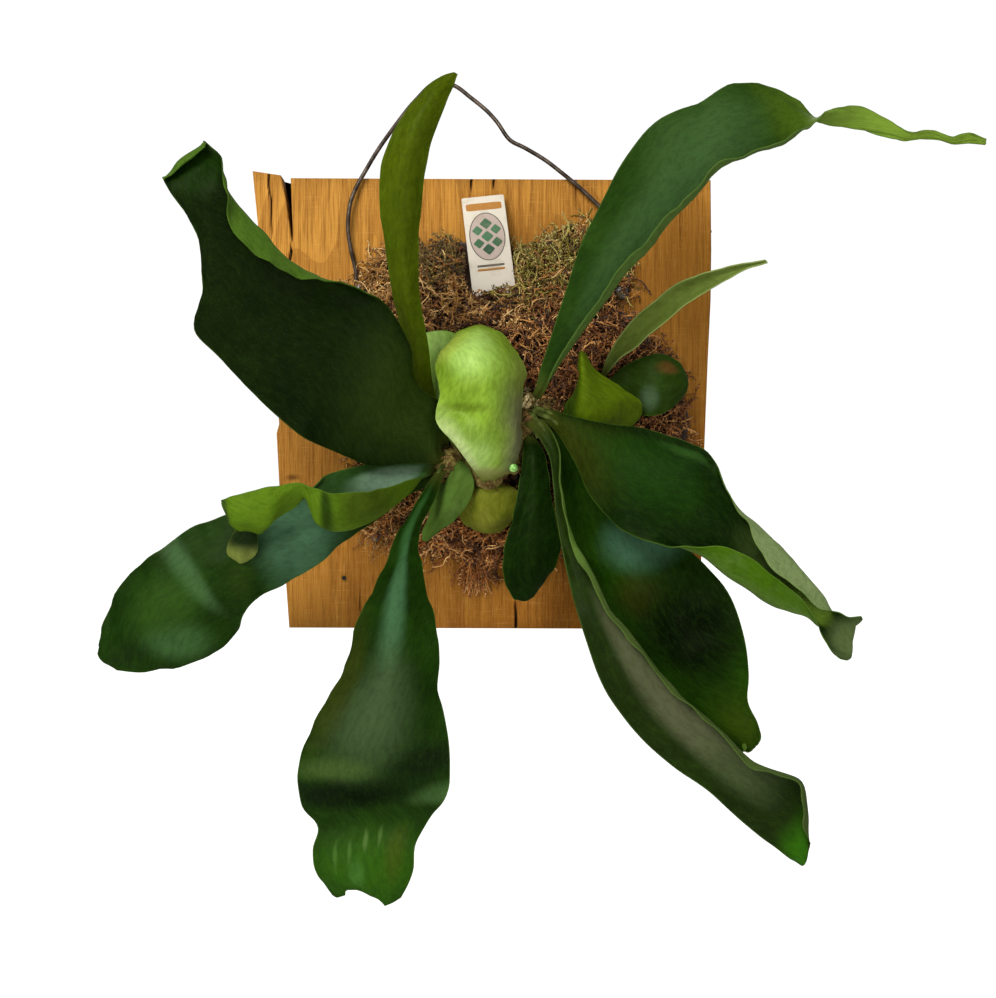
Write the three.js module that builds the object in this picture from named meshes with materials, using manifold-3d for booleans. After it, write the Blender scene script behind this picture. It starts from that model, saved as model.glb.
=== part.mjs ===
// Mounted staghorn fern: a fern with fertile fronds and shield fronds, growing out of a moss
// cushion on a cedar board that hangs by a bent steel wire.
// Millimetres, +Z up. The origin is the middle of the board's back face. The wall is the plane
// y = 0, and the fern grows out of the board towards -y.
import * as THREE from "three";
import { mergeVertices } from "three/addons/utils/BufferGeometryUtils.js";
import Module from "manifold-3d";

const wasm = await Module();
wasm.setup();

const CLEARANCE = 0.3;

// ---------------------------------------------------------------------------------------------
// The plan: what grows freely is laid out on a sheet of steps, as an eye one metre in front of the
// board's face sees it. A plan point is [steps across, steps down, millimetres out of the face].

const PLAN = {
  step: 0.709,
  eyeDistance: 1000,
  eyeAcross: 498,
  eyeDown: 499,
  boardAcross: 495,
  boardDown: 403.5,
};

// The board, in millimetres: its outline runs round the split strip on the left and the V-shaped
// split beside it.
const BOARD = {
  thickness: 19,
  outline: [
    [-146, -159], [145, -160], [148.5, -33], [151, 31], [153, 73], [153.5, 109], [153, 158.5],
    [-145, 160], [-143.4, 122], [-143.6, 111], [-148, 143], [-152, 162], [-172, 165],
    [-168, 124], [-153, -14], [-155, -21], [-152.5, -68],
  ],
};

const WIRE = {
  diameter: 3,
  sides: 8,
  eyeRadius: 4.1,
  eyeTurn: (250 * Math.PI) / 180,
  eyePoints: 7,
  eyeOut: 2.4,
  // from the left eye over the top to the right eye
  route: [
    [356, 272, 3], [351, 250, 4], [348, 228, 5], [350, 205, 5], [356, 188, 4], [366, 170, 3],
    [378, 150, 0], [395, 126, -4], [415, 101, -8], [437, 82, -11], [455, 86, -11],
    [470, 97, -10], [487, 111, -8], [497, 122, -7], [510, 140, -4], [525, 148, -2],
    [545, 160, 1], [562, 173, 3], [580, 188, 4], [598, 205, 5], [615, 222, 5], [627, 240, 4],
    [630, 262, 3], [629, 276, 3],
  ],
  stepsPerPoint: 2,
};

const SCREW = { shank: 2, head: 4.4, headThickness: 2.2, depth: 13, sides: 10 };
const LEFT_SCREW = { x: -94, z: 80 };
const RIGHT_SCREW = { x: 89.5, z: 78.5 };

// Spare fixings that an earlier use left in the board.
const OLD_SCREW = {
  x: -84.7, z: -94.7, shank: 1.5, head: 2.9, headThickness: 1.4, standOff: 0.3, depth: 9,
};
const OLD_NAIL = {
  x: -107, z: -123.7, shank: 0.9, head: 1.6, headThickness: 1, standOff: 0.3, depth: 9,
};
const EDGE_NAIL = { x: 153, y: -9.5, z: 123.7, shank: 1.1, buried: 12, proud: 2 };

const TAG = {
  width: 30,
  length: 76,
  thickness: 0.8,
  corner: 1.5,
  middle: [488.4, 245, 15.2],
  tilt: (-6.5 * Math.PI) / 180,
  lean: (-17 * Math.PI) / 180,
};

const MOSS = {
  middle: [517, 405],
  height: 36,
  rim: 3,
  rings: 8,
  spokes: 44,
  bump: 2,
  outline: [
    [376, 288], [378, 268], [392, 257], [425, 258], [458, 242], [512, 256], [548, 241],
    [588, 228], [605, 243], [609, 262], [605, 284], [608, 304], [625, 312], [643, 330],
    [664, 354], [684, 395], [688, 432], [672, 470], [640, 505], [600, 532], [560, 550],
    [523, 560], [480, 560], [430, 552], [396, 547], [386, 532], [368, 518], [362, 490],
    [356, 455], [350, 400], [350, 345], [360, 308],
  ],
};

// The creeping rhizome runs from the left crown past the foot of the shields to the middle crown
// and on to the pup on the right. A knuckle or bud is [across, down, out, radius in millimetres].
const RHIZOME = {
  radius: 6.5,
  sides: 8,
  stepsPerPoint: 2,
  route: [
    [448, 462, 41], [467, 471, 42], [489, 476, 46], [508, 461, 42], [521, 440, 41],
    [527, 421, 41], [544, 405, 36], [563, 408, 32], [584, 415, 31], [599, 390, 31],
  ],
  knuckles: [
    [448, 462, 41, 10], [489, 477, 49, 9], [527, 421, 41, 9.5], [584, 415, 31, 8.5],
    [599, 388, 31, 8], [597, 427, 33, 7.5],
  ],
  buds: [[515, 468, 47, 4.5], [525, 402, 44, 7]],
};

// ---------------------------------------------------------------------------------------------
// Fronds. A frond is lofted through its stations, from the foot to the tip. A station is a row of
// plan points across the blade: edge, rib, edge, with one more point where an edge curls over.
// `ribAt` is the rib's place across the blade, half way unless one edge alone curls over.

const FERTILE = { rib: 2.2, edge: 1, foot: 0.6 };
const STRAP = { rib: 1.8, edge: 1, foot: 0.6 };
const CURLED = { rib: 1.4, edge: 0.9, foot: 0.2 };
const SHIELD = { rib: 1.4, edge: 1, foot: 0.4 };
const RIB_SPREAD = 0.17;

const DARK_GREEN = 0x1f3f14;
const MID_GREEN = 0x2f5a1c;
const YELLOW_GREEN = 0x6f8a24;
const BRIGHT_GREEN = 0x9fc53a;
const OLIVE = 0x7c7a2c;
const SEA_GREEN = 0x5d7b4a;

const FRONDS = {
  frond_upper_left: {
    colour: DARK_GREEN, blade: FERTILE, along: 30, across: 9, ribAt: 2 / 3,
    stations: [
      [[450, 456, 42], [449, 458, 43], [447, 461, 43], [446, 464, 42]],
      [[441, 450, 54], [439, 452, 55], [436, 458, 56], [432, 464, 54]],
      [[440, 405, 60], [437, 415, 61], [427, 438, 64], [413, 463, 60]],
      [[417, 385, 76], [413, 392, 78], [397, 424, 80], [374, 465, 72]],
      [[409, 345, 92], [402, 354, 95], [372, 397, 97], [338, 453, 88]],
      [[385, 303, 109], [379, 311, 109], [338, 370, 111], [303, 437, 104]],
      [[347, 285, 129], [342, 288, 121], [304, 345, 122], [271, 411, 116]],
      [[303, 277, 143], [312, 273, 134], [274, 318, 132], [240, 380, 126]],
      [[272, 266, 154], [284, 256, 144], [250, 292, 141], [215, 353, 134]],
      [[247, 248, 161], [262, 232, 151], [230, 268, 147], [194, 330, 140]],
      [[232, 228, 165], [243, 211, 156], [219, 245, 151], [203, 288, 146]],
      [[226, 200, 168], [229, 193, 159], [210, 222, 154], [198, 240, 150]],
      [[224, 174, 166], [223, 180, 160], [200, 195, 156], [180, 205, 152]],
      [[221, 156, 157], [215, 161, 156], [192, 173, 153], [167, 187, 151]],
      [[206, 143, 154], [200, 148, 153], [184, 160, 150], [163, 179, 148]],
      [[208, 146, 161], [202, 151, 160], [186, 163, 157], [165, 181, 154]],
    ],
  },
  frond_top_strap: {
    colour: YELLOW_GREEN, blade: STRAP, along: 16, across: 6,
    stations: [
      [[450, 453, 41], [446, 453, 42], [443, 453, 41]],
      [[446, 425, 48], [439, 425, 49], [432, 425, 48]],
      [[434, 388, 54], [425, 388, 56], [416, 388, 54]],
      [[428, 345, 72], [416, 345, 76], [404, 345, 72]],
      [[420, 298, 90], [407, 298, 95], [393, 298, 90]],
      [[419, 250, 106], [402, 250, 112], [386, 250, 106]],
      [[422, 202, 120], [401, 202, 127], [380, 202, 120]],
      [[425, 172, 127], [403, 170, 134], [381, 166, 127]],
      [[431, 143, 132], [411, 140, 139], [390, 137, 132]],
      [[440, 118, 134], [422, 114, 140], [404, 112, 134]],
      [[447, 100, 134], [435, 95, 138], [423, 90, 134]],
      [[453, 87, 132], [447, 82, 134], [441, 77, 132]],
      [[457.5, 74, 130], [456, 73, 130], [454, 72, 130]],
    ],
  },
  frond_upper_right: {
    colour: DARK_GREEN, blade: FERTILE, along: 32, across: 6, ribAt: 2 / 3,
    stations: [
      [[537, 403, 43], [535, 401, 44], [532, 399, 44], [529, 398, 43]],
      [[544, 393, 56], [542, 392, 55], [539, 390, 56], [535, 389, 55]],
      [[551, 374, 69], [552, 376, 64], [546, 372, 63], [540, 370, 63]],
      [[566, 347, 84], [570, 348, 77], [561, 340, 76], [552, 333, 77]],
      [[587, 316, 98], [593, 317, 91], [579, 303, 89], [566, 290, 90]],
      [[612, 281, 112], [619, 283, 104], [599, 264, 103], [580, 246, 104]],
      [[641, 245, 124], [648, 248, 116], [623, 227, 115], [600, 205, 116]],
      [[677, 206, 135], [682, 209, 127], [654, 188, 126], [622, 163, 126]],
      [[715, 168, 141], [717, 172, 134], [687, 151, 132], [655, 122, 131]],
      [[748, 151, 143], [748, 153, 137], [722, 124, 134], [697, 103, 133]],
      [[778, 143, 143], [777, 146, 137], [756, 114, 132], [733, 84, 130]],
      [[797, 131, 141], [796, 133, 135], [784, 112, 129], [770, 85, 126]],
      [[807, 127, 138], [806, 127, 133], [801, 117, 127], [794, 101, 122]],
      [[815, 123, 134], [814, 122, 131], [813, 121, 125], [812, 119, 119]],
      [[834, 109, 128], [835, 112, 126], [836, 118, 121], [838, 126, 116]],
      [[860, 106, 121], [861, 112, 120], [862, 120, 118], [864, 131, 115]],
      [[885, 118, 117], [886, 123, 116], [887, 130, 115], [888, 138, 113]],
      [[908, 131, 115], [908, 133, 114], [909, 137, 112], [910, 140, 109]],
      [[932, 130, 112], [932, 133, 111], [932, 136, 109], [932, 140, 107]],
      [[951, 136, 110], [951, 138, 109], [951, 140, 107], [951, 142, 105]],
      [[968, 133, 105], [968, 136, 105], [968, 139, 104], [968, 143, 103]],
      [[987, 139, 101], [987, 141, 101], [987, 142, 101], [987, 144, 101]],
    ],
  },
  frond_right_strap: {
    colour: MID_GREEN, blade: STRAP, along: 12, across: 4,
    stations: [
      [[604, 379, 34], [602, 378, 33], [600, 377, 34]],
      [[618, 361, 51], [614, 357, 47], [609, 353, 51]],
      [[641, 343, 65], [633, 334, 60], [625, 328, 65]],
      [[669, 319, 79], [660, 309, 74], [652, 303, 79]],
      [[697, 297, 91], [690, 289, 86], [681, 282, 91]],
      [[722, 283, 100], [716, 277, 96], [709, 271, 100]],
      [[745, 271, 107], [742, 268, 104], [737, 264, 107]],
      [[768, 263, 112], [767, 261, 111], [765, 259, 112]],
    ],
  },
  frond_right_round: {
    colour: DARK_GREEN, blade: STRAP, along: 8, across: 6,
    stations: [
      [[603, 392, 32], [603, 389, 33], [603, 386, 32]],
      [[622, 404, 38], [624, 386, 41], [622, 368, 38]],
      [[645, 416, 44], [645, 386, 48], [642, 358, 44]],
      [[664, 413, 46], [664, 385, 51], [662, 354, 46]],
      [[679, 402, 44], [679, 384, 48], [677, 361, 44]],
      [[686, 391, 42], [687, 384, 43], [686, 376, 42]],
    ],
  },
  frond_right: {
    colour: DARK_GREEN, blade: CURLED, along: 26, across: 12,
    stations: [
      [[533, 419, 43], [535, 417, 44], [537, 414, 45], [539, 411, 44], [541, 409, 43]],
      [[545, 422, 58], [547, 420, 60], [549, 416, 61], [551, 412, 60], [553, 410, 58]],
      [[557, 433, 68], [559, 428, 70], [562, 423, 71], [564, 418, 70], [565, 414, 68]],
      [[575, 463, 82], [582, 452, 85], [593, 440, 88], [601, 430, 86], [606, 424, 82]],
      [[592, 499, 96], [602, 483, 99], [622, 458, 103], [638, 439, 100], [648, 429, 95]],
      [[618, 527, 106], [627, 510, 109], [651, 478, 113], [672, 453, 110], [683, 441, 105]],
      [[652, 543, 116], [657, 531, 113], [679, 496, 119], [699, 463, 115], [708, 452, 113]],
      [[690, 546, 126], [688, 548, 117], [705, 512, 121], [717, 483, 117], [722, 477, 121]],
      [[708, 546, 128], [706, 558, 118], [724, 530, 117], [738, 509, 115], [738, 511, 122]],
      [[735, 551, 131], [727, 576, 116], [742, 552, 114], [757, 526, 116], [748, 524, 127]],
      [[757, 561, 131], [750, 590, 115], [760, 570, 111], [775, 543, 115], [757, 548, 128]],
      [[772, 575, 128], [772, 605, 112], [778, 588, 108], [794, 562, 112], [771, 567, 128]],
      [[791, 590, 124], [793, 613, 110], [798, 598, 105], [812, 583, 110], [790, 582, 124]],
      [[807, 609, 119], [808, 619, 109], [813, 610, 103], [825, 599, 107], [809, 600, 119]],
      [[817, 622, 115], [817, 626, 108], [822, 618, 102], [831, 609, 105], [824, 609, 114]],
      [[822, 632, 109], [825, 629, 105], [830, 624, 102], [836, 617, 104], [840, 612, 109]],
      [[830, 650, 104], [836, 644, 101], [842, 636, 100], [847, 626, 102], [850, 617, 106]],
      [[845, 663, 100], [852, 656, 98], [857, 644, 98], [860, 630, 100], [862, 616, 104]],
    ],
  },
  frond_lower_right_wide: {
    colour: DARK_GREEN, blade: FERTILE, along: 16, across: 6,
    stations: [
      [[533, 432, 36], [536, 429, 37], [540, 426, 36]],
      [[548, 436, 54], [553, 431, 54], [560, 426, 54]],
      [[556, 470, 62], [572, 462, 58], [590, 455, 60]],
      [[560, 510, 72], [590, 500, 64], [625, 495, 68]],
      [[570, 555, 82], [612, 545, 72], [665, 530, 78]],
      [[590, 600, 92], [640, 590, 82], [700, 560, 86]],
      [[615, 642, 100], [662, 632, 90], [728, 592, 94]],
      [[645, 680, 108], [688, 668, 98], [743, 632, 100]],
      [[678, 708, 114], [712, 700, 104], [749, 672, 104]],
      [[708, 730, 118], [730, 724, 108], [748, 702, 106]],
      [[728, 740, 118], [744, 736, 110], [757, 722, 108]],
      [[738, 745, 116], [748, 748, 111], [761, 737, 109]],
      [[744, 748, 114], [751, 751, 112], [757, 745, 110]],
    ],
  },
  frond_lower_right_long: {
    colour: MID_GREEN, blade: FERTILE, along: 24, across: 9, ribAt: 1 / 3,
    stations: [
      [[522, 423, 45], [524, 420, 46], [527, 417, 46], [529, 414, 45]],
      [[535, 433, 62], [539, 430, 63], [543, 427, 63], [547, 424, 63]],
      [[549, 457, 73], [553, 454, 73], [557, 451, 75], [559, 450, 80]],
      [[553, 485, 84], [556, 485, 84], [561, 484, 88], [560, 486, 93]],
      [[556, 515, 94], [561, 515, 94], [566, 513, 99], [564, 515, 105]],
      [[562, 550, 104], [569, 548, 104], [577, 546, 110], [574, 549, 117]],
      [[571, 590, 114], [583, 587, 114], [596, 584, 120], [593, 587, 127]],
      [[584, 635, 122], [602, 630, 122], [620, 622, 129], [618, 625, 136]],
      [[604, 688, 130], [628, 676, 128], [653, 664, 136], [651, 666, 143]],
      [[635, 732, 134], [661, 714, 132], [687, 701, 142], [685, 703, 149]],
      [[672, 766, 136], [696, 748, 134], [720, 732, 146], [718, 734, 153]],
      [[708, 791, 136], [729, 776, 134], [750, 759, 147], [748, 762, 154]],
      [[735, 816, 132], [757, 800, 132], [778, 771, 145], [776, 774, 152]],
      [[762, 838, 126], [782, 822, 126], [801, 783, 139], [799, 786, 146]],
      [[786, 855, 120], [797, 846, 122], [808, 815, 131], [804, 819, 138]],
      [[801, 867, 115], [805, 864, 117], [809, 850, 121], [810, 844, 125]],
    ],
  },
  frond_lower_middle: {
    colour: DARK_GREEN, blade: STRAP, along: 10, across: 6,
    stations: [
      [[523, 432, 42], [527, 431, 43], [531, 432, 42]],
      [[523, 455, 54], [534, 455, 57], [545, 455, 54]],
      [[518, 490, 58], [535, 490, 63], [551, 490, 58]],
      [[511, 522, 60], [533, 522, 66], [556, 520, 60]],
      [[503, 556, 58], [531, 553, 66], [562, 547, 59]],
      [[504, 580, 55], [529, 580, 61], [550, 574, 56]],
      [[515, 598, 51], [524, 601, 53], [533, 597, 51]],
    ],
  },
  frond_bottom: {
    colour: DARK_GREEN, blade: FERTILE, along: 24, across: 8,
    stations: [
      [[440, 467, 43], [444, 467, 44], [448, 467, 43]],
      [[431, 479, 62], [436, 480, 64], [442, 481, 62]],
      [[420, 496, 74], [427, 498, 76], [435, 500, 74]],
      [[405, 522, 88], [413, 524, 92], [421, 526, 88]],
      [[389, 555, 106], [405, 555, 114], [419, 553, 106]],
      [[371, 592, 122], [400, 592, 132], [427, 588, 122]],
      [[354, 632, 134], [396, 630, 147], [435, 622, 136]],
      [[343, 672, 144], [391, 670, 158], [440, 658, 146]],
      [[325, 703, 152], [384, 705, 166], [438, 690, 152]],
      [[306, 740, 158], [377, 740, 172], [446, 722, 160]],
      [[298, 775, 158], [374, 775, 166], [450, 758, 164]],
      [[302, 806, 150], [372, 804, 150], [447, 795, 160]],
      [[318, 828, 148], [370, 826, 150], [430, 818, 156]],
      [[313, 850, 152], [368, 850, 156], [416, 843, 158]],
      [[318, 878, 154], [367, 876, 158], [413, 872, 158]],
      [[335, 898, 150], [369, 894, 154], [400, 900, 154]],
    ],
  },
  frond_left_curled: {
    colour: MID_GREEN, blade: CURLED, along: 22, across: 12,
    stations: [
      [[441, 459, 41], [440, 462, 42], [439, 465, 42], [438, 468, 41], [437, 471, 40]],
      [[429, 458, 47], [428, 463, 47], [427, 470, 48], [426, 475, 50], [425, 478, 53]],
      [[413, 459, 50], [413, 469, 50], [413, 488, 56], [412, 487, 66], [413, 479, 72]],
      [[386, 460, 62], [386, 474, 62], [386, 511, 72], [386, 506, 86], [386, 488, 94]],
      [[354, 467, 76], [356, 480, 77], [360, 526, 89], [358, 514, 103], [355, 492, 109]],
      [[328, 474, 89], [331, 486, 90], [334, 530, 103], [333, 516, 114], [330, 493, 117]],
      [[316, 483, 97], [316, 490, 97], [317, 522, 106], [316, 510, 113], [316, 488, 118]],
      [[303, 499, 101], [303, 498, 104], [303, 496, 109], [303, 490, 114], [303, 483, 117]],
      [[284, 512, 99], [284, 508, 104], [285, 501, 111], [285, 493, 116], [286, 485, 118]],
      [[262, 532, 104], [263, 530, 109], [266, 524, 117], [267, 508, 120], [268, 487, 118]],
      [[250, 534, 108], [250, 530, 113], [250, 522, 120], [250, 508, 123], [250, 491, 120]],
      [[236, 530, 110], [235, 527, 115], [234, 520, 120], [233, 509, 122], [232, 496, 119]],
      [[229, 522, 110], [228, 519, 113], [226, 514, 116], [223, 507, 117], [220, 500, 115]],
    ],
  },
  frond_left_low: {
    colour: DARK_GREEN, blade: FERTILE, along: 18, across: 6,
    stations: [
      [[450, 470, 35], [448, 474, 36], [446, 478, 35]],
      [[432, 472, 38], [430, 479, 40], [428, 486, 38]],
      [[413, 473, 43], [410, 484, 46], [407, 496, 43]],
      [[375, 480, 58], [378, 498, 63], [382, 516, 58]],
      [[335, 492, 70], [342, 515, 77], [350, 538, 70]],
      [[295, 500, 79], [304, 533, 88], [312, 568, 79]],
      [[255, 508, 86], [270, 545, 95], [282, 586, 86]],
      [[221, 517, 90], [240, 560, 99], [252, 602, 90]],
      [[190, 528, 93], [215, 578, 101], [243, 615, 91]],
      [[160, 550, 92], [195, 598, 100], [238, 632, 88]],
      [[130, 573, 88], [165, 618, 98], [215, 652, 86]],
      [[110, 605, 84], [136, 632, 94], [180, 667, 84]],
      [[101, 637, 82], [115, 650, 88], [140, 671, 82]],
      [[97, 652, 80], [103, 662, 82], [117, 670, 80]],
    ],
  },
  frond_small_left: {
    colour: SEA_GREEN, blade: STRAP, along: 8, across: 6,
    stations: [
      [[455, 460, 44], [459, 459, 45], [463, 460, 44]],
      [[449, 475, 50], [459, 472, 55], [470, 470, 52]],
      [[434, 495, 54], [452, 492, 61], [474, 490, 56]],
      [[428, 515, 56], [442, 513, 63], [460, 514, 57]],
      [[424, 530, 55], [431, 532, 59], [442, 530, 55]],
      [[422, 540, 54], [425, 541, 55], [429, 540, 54]],
    ],
  },
  shield_main: {
    colour: BRIGHT_GREEN, blade: SHIELD, along: 14, across: 8,
    stations: [
      [[495, 480, 54], [492, 481, 55], [489, 482, 56], [486, 482, 56], [483, 482, 55]],
      [[512, 468, 58], [504, 468, 65], [493, 468, 70], [481, 468, 72], [470, 465, 70]],
      [[520, 447, 56], [512, 447, 66], [492, 448, 74], [470, 448, 78], [455, 444, 76]],
      [[521, 428, 55], [514, 428, 66], [490, 430, 76], [462, 430, 78], [437, 424, 79]],
      [[521, 408, 55], [514, 408, 67], [490, 410, 79], [460, 410, 72], [436, 410, 72]],
      [[523, 390, 55], [514, 390, 68], [486, 391, 83], [460, 392, 79], [440, 391, 70]],
      [[526, 373, 54], [514, 370, 69], [482, 370, 85], [455, 370, 80], [435, 371, 64]],
      [[518, 354, 52], [506, 350, 66], [479, 349, 81], [455, 351, 75], [437, 357, 60]],
      [[503, 335, 50], [494, 333, 58], [479, 332, 63], [464, 335, 61], [449, 343, 56]],
      [[492, 328, 49], [486, 327, 51], [479, 326, 53], [470, 328, 52], [460, 332, 50]],
    ],
  },
  shield_old: {
    colour: OLIVE, blade: SHIELD, along: 8, across: 6,
    stations: [
      [[480, 484, 44], [490, 484, 46], [500, 484, 44]],
      [[463, 492, 46], [490, 490, 53], [517, 490, 46]],
      [[456, 505, 45], [488, 505, 54], [520, 505, 45]],
      [[461, 520, 42], [488, 520, 49], [515, 520, 42]],
      [[474, 531, 36], [487, 533, 39], [500, 531, 36]],
    ],
  },
  shield_back: {
    colour: SEA_GREEN, blade: SHIELD, along: 8, across: 6,
    stations: [
      [[467, 458, 40], [463, 457, 41], [459, 456, 40]],
      [[470, 415, 41], [452, 415, 43], [434, 415, 41]],
      [[472, 385, 42], [447, 383, 47], [422, 380, 42]],
      [[471, 355, 41], [446, 352, 47], [421, 351, 41]],
      [[466, 336, 39], [446, 330, 44], [426, 333, 39]],
    ],
  },
  shield_pup: {
    colour: YELLOW_GREEN, blade: SHIELD, along: 10, across: 6,
    stations: [
      [[604, 436, 36], [597, 434, 40], [590, 435, 37]],
      [[628, 428, 42], [586, 430, 58], [564, 422, 44]],
      [[642, 414, 46], [583, 420, 65], [562, 412, 48]],
      [[641, 402, 52], [584, 404, 70], [568, 400, 54]],
      [[622, 388, 58], [584, 388, 74], [575, 391, 60]],
      [[599, 372, 66], [583, 371, 76], [579, 374, 67]],
      [[584, 353, 73], [581.5, 351, 75], [579, 353, 73]],
    ],
  },
};

// ---------------------------------------------------------------------------------------------
// Shared steps

function fromPlan([across, down, out]) {
  const step = (PLAN.step * (PLAN.eyeDistance - out)) / PLAN.eyeDistance;
  const x = PLAN.step * (PLAN.eyeAcross - PLAN.boardAcross) + (across - PLAN.eyeAcross) * step;
  const z = PLAN.step * (PLAN.boardDown - PLAN.eyeDown) + (PLAN.eyeDown - down) * step;
  return new THREE.Vector3(x, -(BOARD.thickness + out), z);
}

function smoothCurve(points, closed = false) {
  return new THREE.CatmullRomCurve3(points, closed);
}

function toSolid(geometry) {
  const plain = geometry.clone();
  plain.deleteAttribute("normal");
  plain.deleteAttribute("uv");
  const merged = mergeVertices(plain, 1e-4);
  const mesh = new wasm.Mesh({
    numProp: 3,
    vertProperties: new Float32Array(merged.attributes.position.array),
    triVerts: new Uint32Array(merged.index.array),
  });
  return new wasm.Manifold(mesh);
}

function toGeometry(solid) {
  const mesh = solid.getMesh();
  const geometry = new THREE.BufferGeometry();
  geometry.setAttribute("position", new THREE.BufferAttribute(mesh.vertProperties, 3));
  geometry.setIndex(new THREE.BufferAttribute(mesh.triVerts, 1));
  geometry.computeVertexNormals();
  return geometry;
}

function largestPiece(solid) {
  const pieces = solid.decompose();
  pieces.sort((a, b) => b.volume() - a.volume());
  return pieces[0];
}

function cutAway(geometry, cutters) {
  let solid = toSolid(geometry);
  for (const cutter of cutters) {
    solid = solid.subtract(toSolid(cutter));
  }
  return toGeometry(largestPiece(solid));
}

// A curve that is stepped evenly from point to point, so its tight bends stay as smooth as its
// long spans.
class BentCurve extends THREE.CatmullRomCurve3 {
  getUtoTmapping(u) {
    return u;
  }
}

function rodGeometry(path, radius, sides, stepsPerPoint) {
  const corners = [];
  for (let k = 0; k < sides; k += 1) {
    const angle = (2 * Math.PI * k) / sides;
    corners.push(new THREE.Vector2(radius * Math.cos(angle), radius * Math.sin(angle)));
  }
  const steps = stepsPerPoint * (path.points.length - 1);
  const options = { steps, bevelEnabled: false, extrudePath: path };
  return new THREE.ExtrudeGeometry(new THREE.Shape(corners), options);
}

// ---------------------------------------------------------------------------------------------
// Blades

function loftGrid(stations, along, across) {
  const railCount = stations[0].length;
  const rails = [];
  for (let rail = 0; rail < railCount; rail += 1) {
    rails.push(smoothCurve(stations.map((station) => fromPlan(station[rail]))));
  }
  const grid = [];
  for (let i = 0; i <= along; i += 1) {
    const section = smoothCurve(rails.map((rail) => rail.getPoint(i / along)));
    const row = [];
    for (let j = 0; j <= across; j += 1) {
      row.push(section.getPoint(j / across));
    }
    grid.push(row);
  }
  return grid;
}

function stepBetween(grid, i, j, di, dj) {
  const last = grid.length - 1;
  const side = grid[0].length - 1;
  const ahead = grid[Math.min(i + di, last)][Math.min(j + dj, side)];
  const behind = grid[Math.max(i - di, 0)][Math.max(j - dj, 0)];
  return ahead.clone().sub(behind).normalize();
}

// u runs from foot to tip, and v from edge to edge.
function bladeThickness(blade, ribAt, u, v) {
  const rib = (blade.rib - blade.edge) * Math.exp(-(((v - ribAt) / RIB_SPREAD) ** 2));
  return blade.edge + rib + blade.foot * Math.exp(-9 * u);
}

// The two faces lie half a thickness to each side of the grid and share its triangles. `grow`
// swells the blade all round, to cut the socket that its foot sits in.
function bladeFaces(grid, blade, ribAt, grow) {
  const along = grid.length - 1;
  const across = grid[0].length - 1;
  const upper = [];
  const under = [];
  for (let i = 0; i <= along; i += 1) {
    for (let j = 0; j <= across; j += 1) {
      const forward = stepBetween(grid, i, j, 1, 0);
      const sideways = stepBetween(grid, i, j, 0, 1);
      const normal = forward.clone().cross(sideways).normalize();
      const middle = grid[i][j].clone();
      middle.addScaledVector(forward, grow * (Number(i === along) - Number(i === 0)));
      middle.addScaledVector(sideways, grow * (Number(j === across) - Number(j === 0)));
      const half = bladeThickness(blade, ribAt, i / along, j / across) / 2 + grow;
      upper.push(middle.clone().addScaledVector(normal, half));
      under.push(middle.clone().addScaledVector(normal, -half));
    }
  }
  return [...upper, ...under];
}

function rimOf(along, across) {
  const width = across + 1;
  const rim = [];
  for (let i = 0; i < along; i += 1) rim.push(i * width);
  for (let j = 0; j < across; j += 1) rim.push(along * width + j);
  for (let i = along; i > 0; i -= 1) rim.push(i * width + across);
  for (let j = across; j > 0; j -= 1) rim.push(j);
  return rim;
}

function bladeTriangles(along, across) {
  const width = across + 1;
  const under = (along + 1) * width;
  const triangles = [];
  for (let i = 0; i < along; i += 1) {
    for (let j = 0; j < across; j += 1) {
      const a = i * width + j;
      const b = a + width;
      triangles.push(a, b, b + 1, a, b + 1, a + 1);
      triangles.push(under + a, under + b + 1, under + b, under + a, under + a + 1, under + b + 1);
    }
  }
  const rim = rimOf(along, across);
  rim.forEach((p, k) => {
    const q = rim[(k + 1) % rim.length];
    triangles.push(under + p, under + q, q, under + p, q, p);
  });
  return triangles;
}

function frondGeometry({ stations, along, across, blade, ribAt = 0.5 }, grow = 0) {
  const grid = loftGrid(stations, along, across);
  const geometry = new THREE.BufferGeometry();
  geometry.setFromPoints(bladeFaces(grid, blade, ribAt, grow));
  geometry.setIndex(bladeTriangles(along, across));
  geometry.computeVertexNormals();
  return geometry;
}

// ---------------------------------------------------------------------------------------------
// Rhizome and moss

function knuckle([across, down, out, radius], grow) {
  const ball = new THREE.IcosahedronGeometry(radius + grow, 1);
  const middle = fromPlan([across, down, out]);
  return ball.translate(middle.x, middle.y, middle.z);
}

function rhizomeGeometry(grow = 0) {
  const { radius, sides, stepsPerPoint, route, knuckles, buds } = RHIZOME;
  const path = new BentCurve(route.map(fromPlan));
  const stem = toSolid(rodGeometry(path, radius + grow, sides, stepsPerPoint));
  const balls = [...knuckles, ...buds].map((ball) => toSolid(knuckle(ball, grow)));
  return toGeometry(balls.reduce((body, ball) => body.add(ball), stem));
}

function mossHeight(point, reach) {
  const dome = MOSS.rim + (MOSS.height - MOSS.rim) * (1 - reach ** 2.6) ** 0.6;
  const bumps = Math.sin(point.x / 7) * Math.cos(point.z / 6) + Math.sin(point.x / 13 + point.z / 9);
  return dome + MOSS.bump * bumps * (1 - reach ** 4) * 0.7;
}

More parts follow.
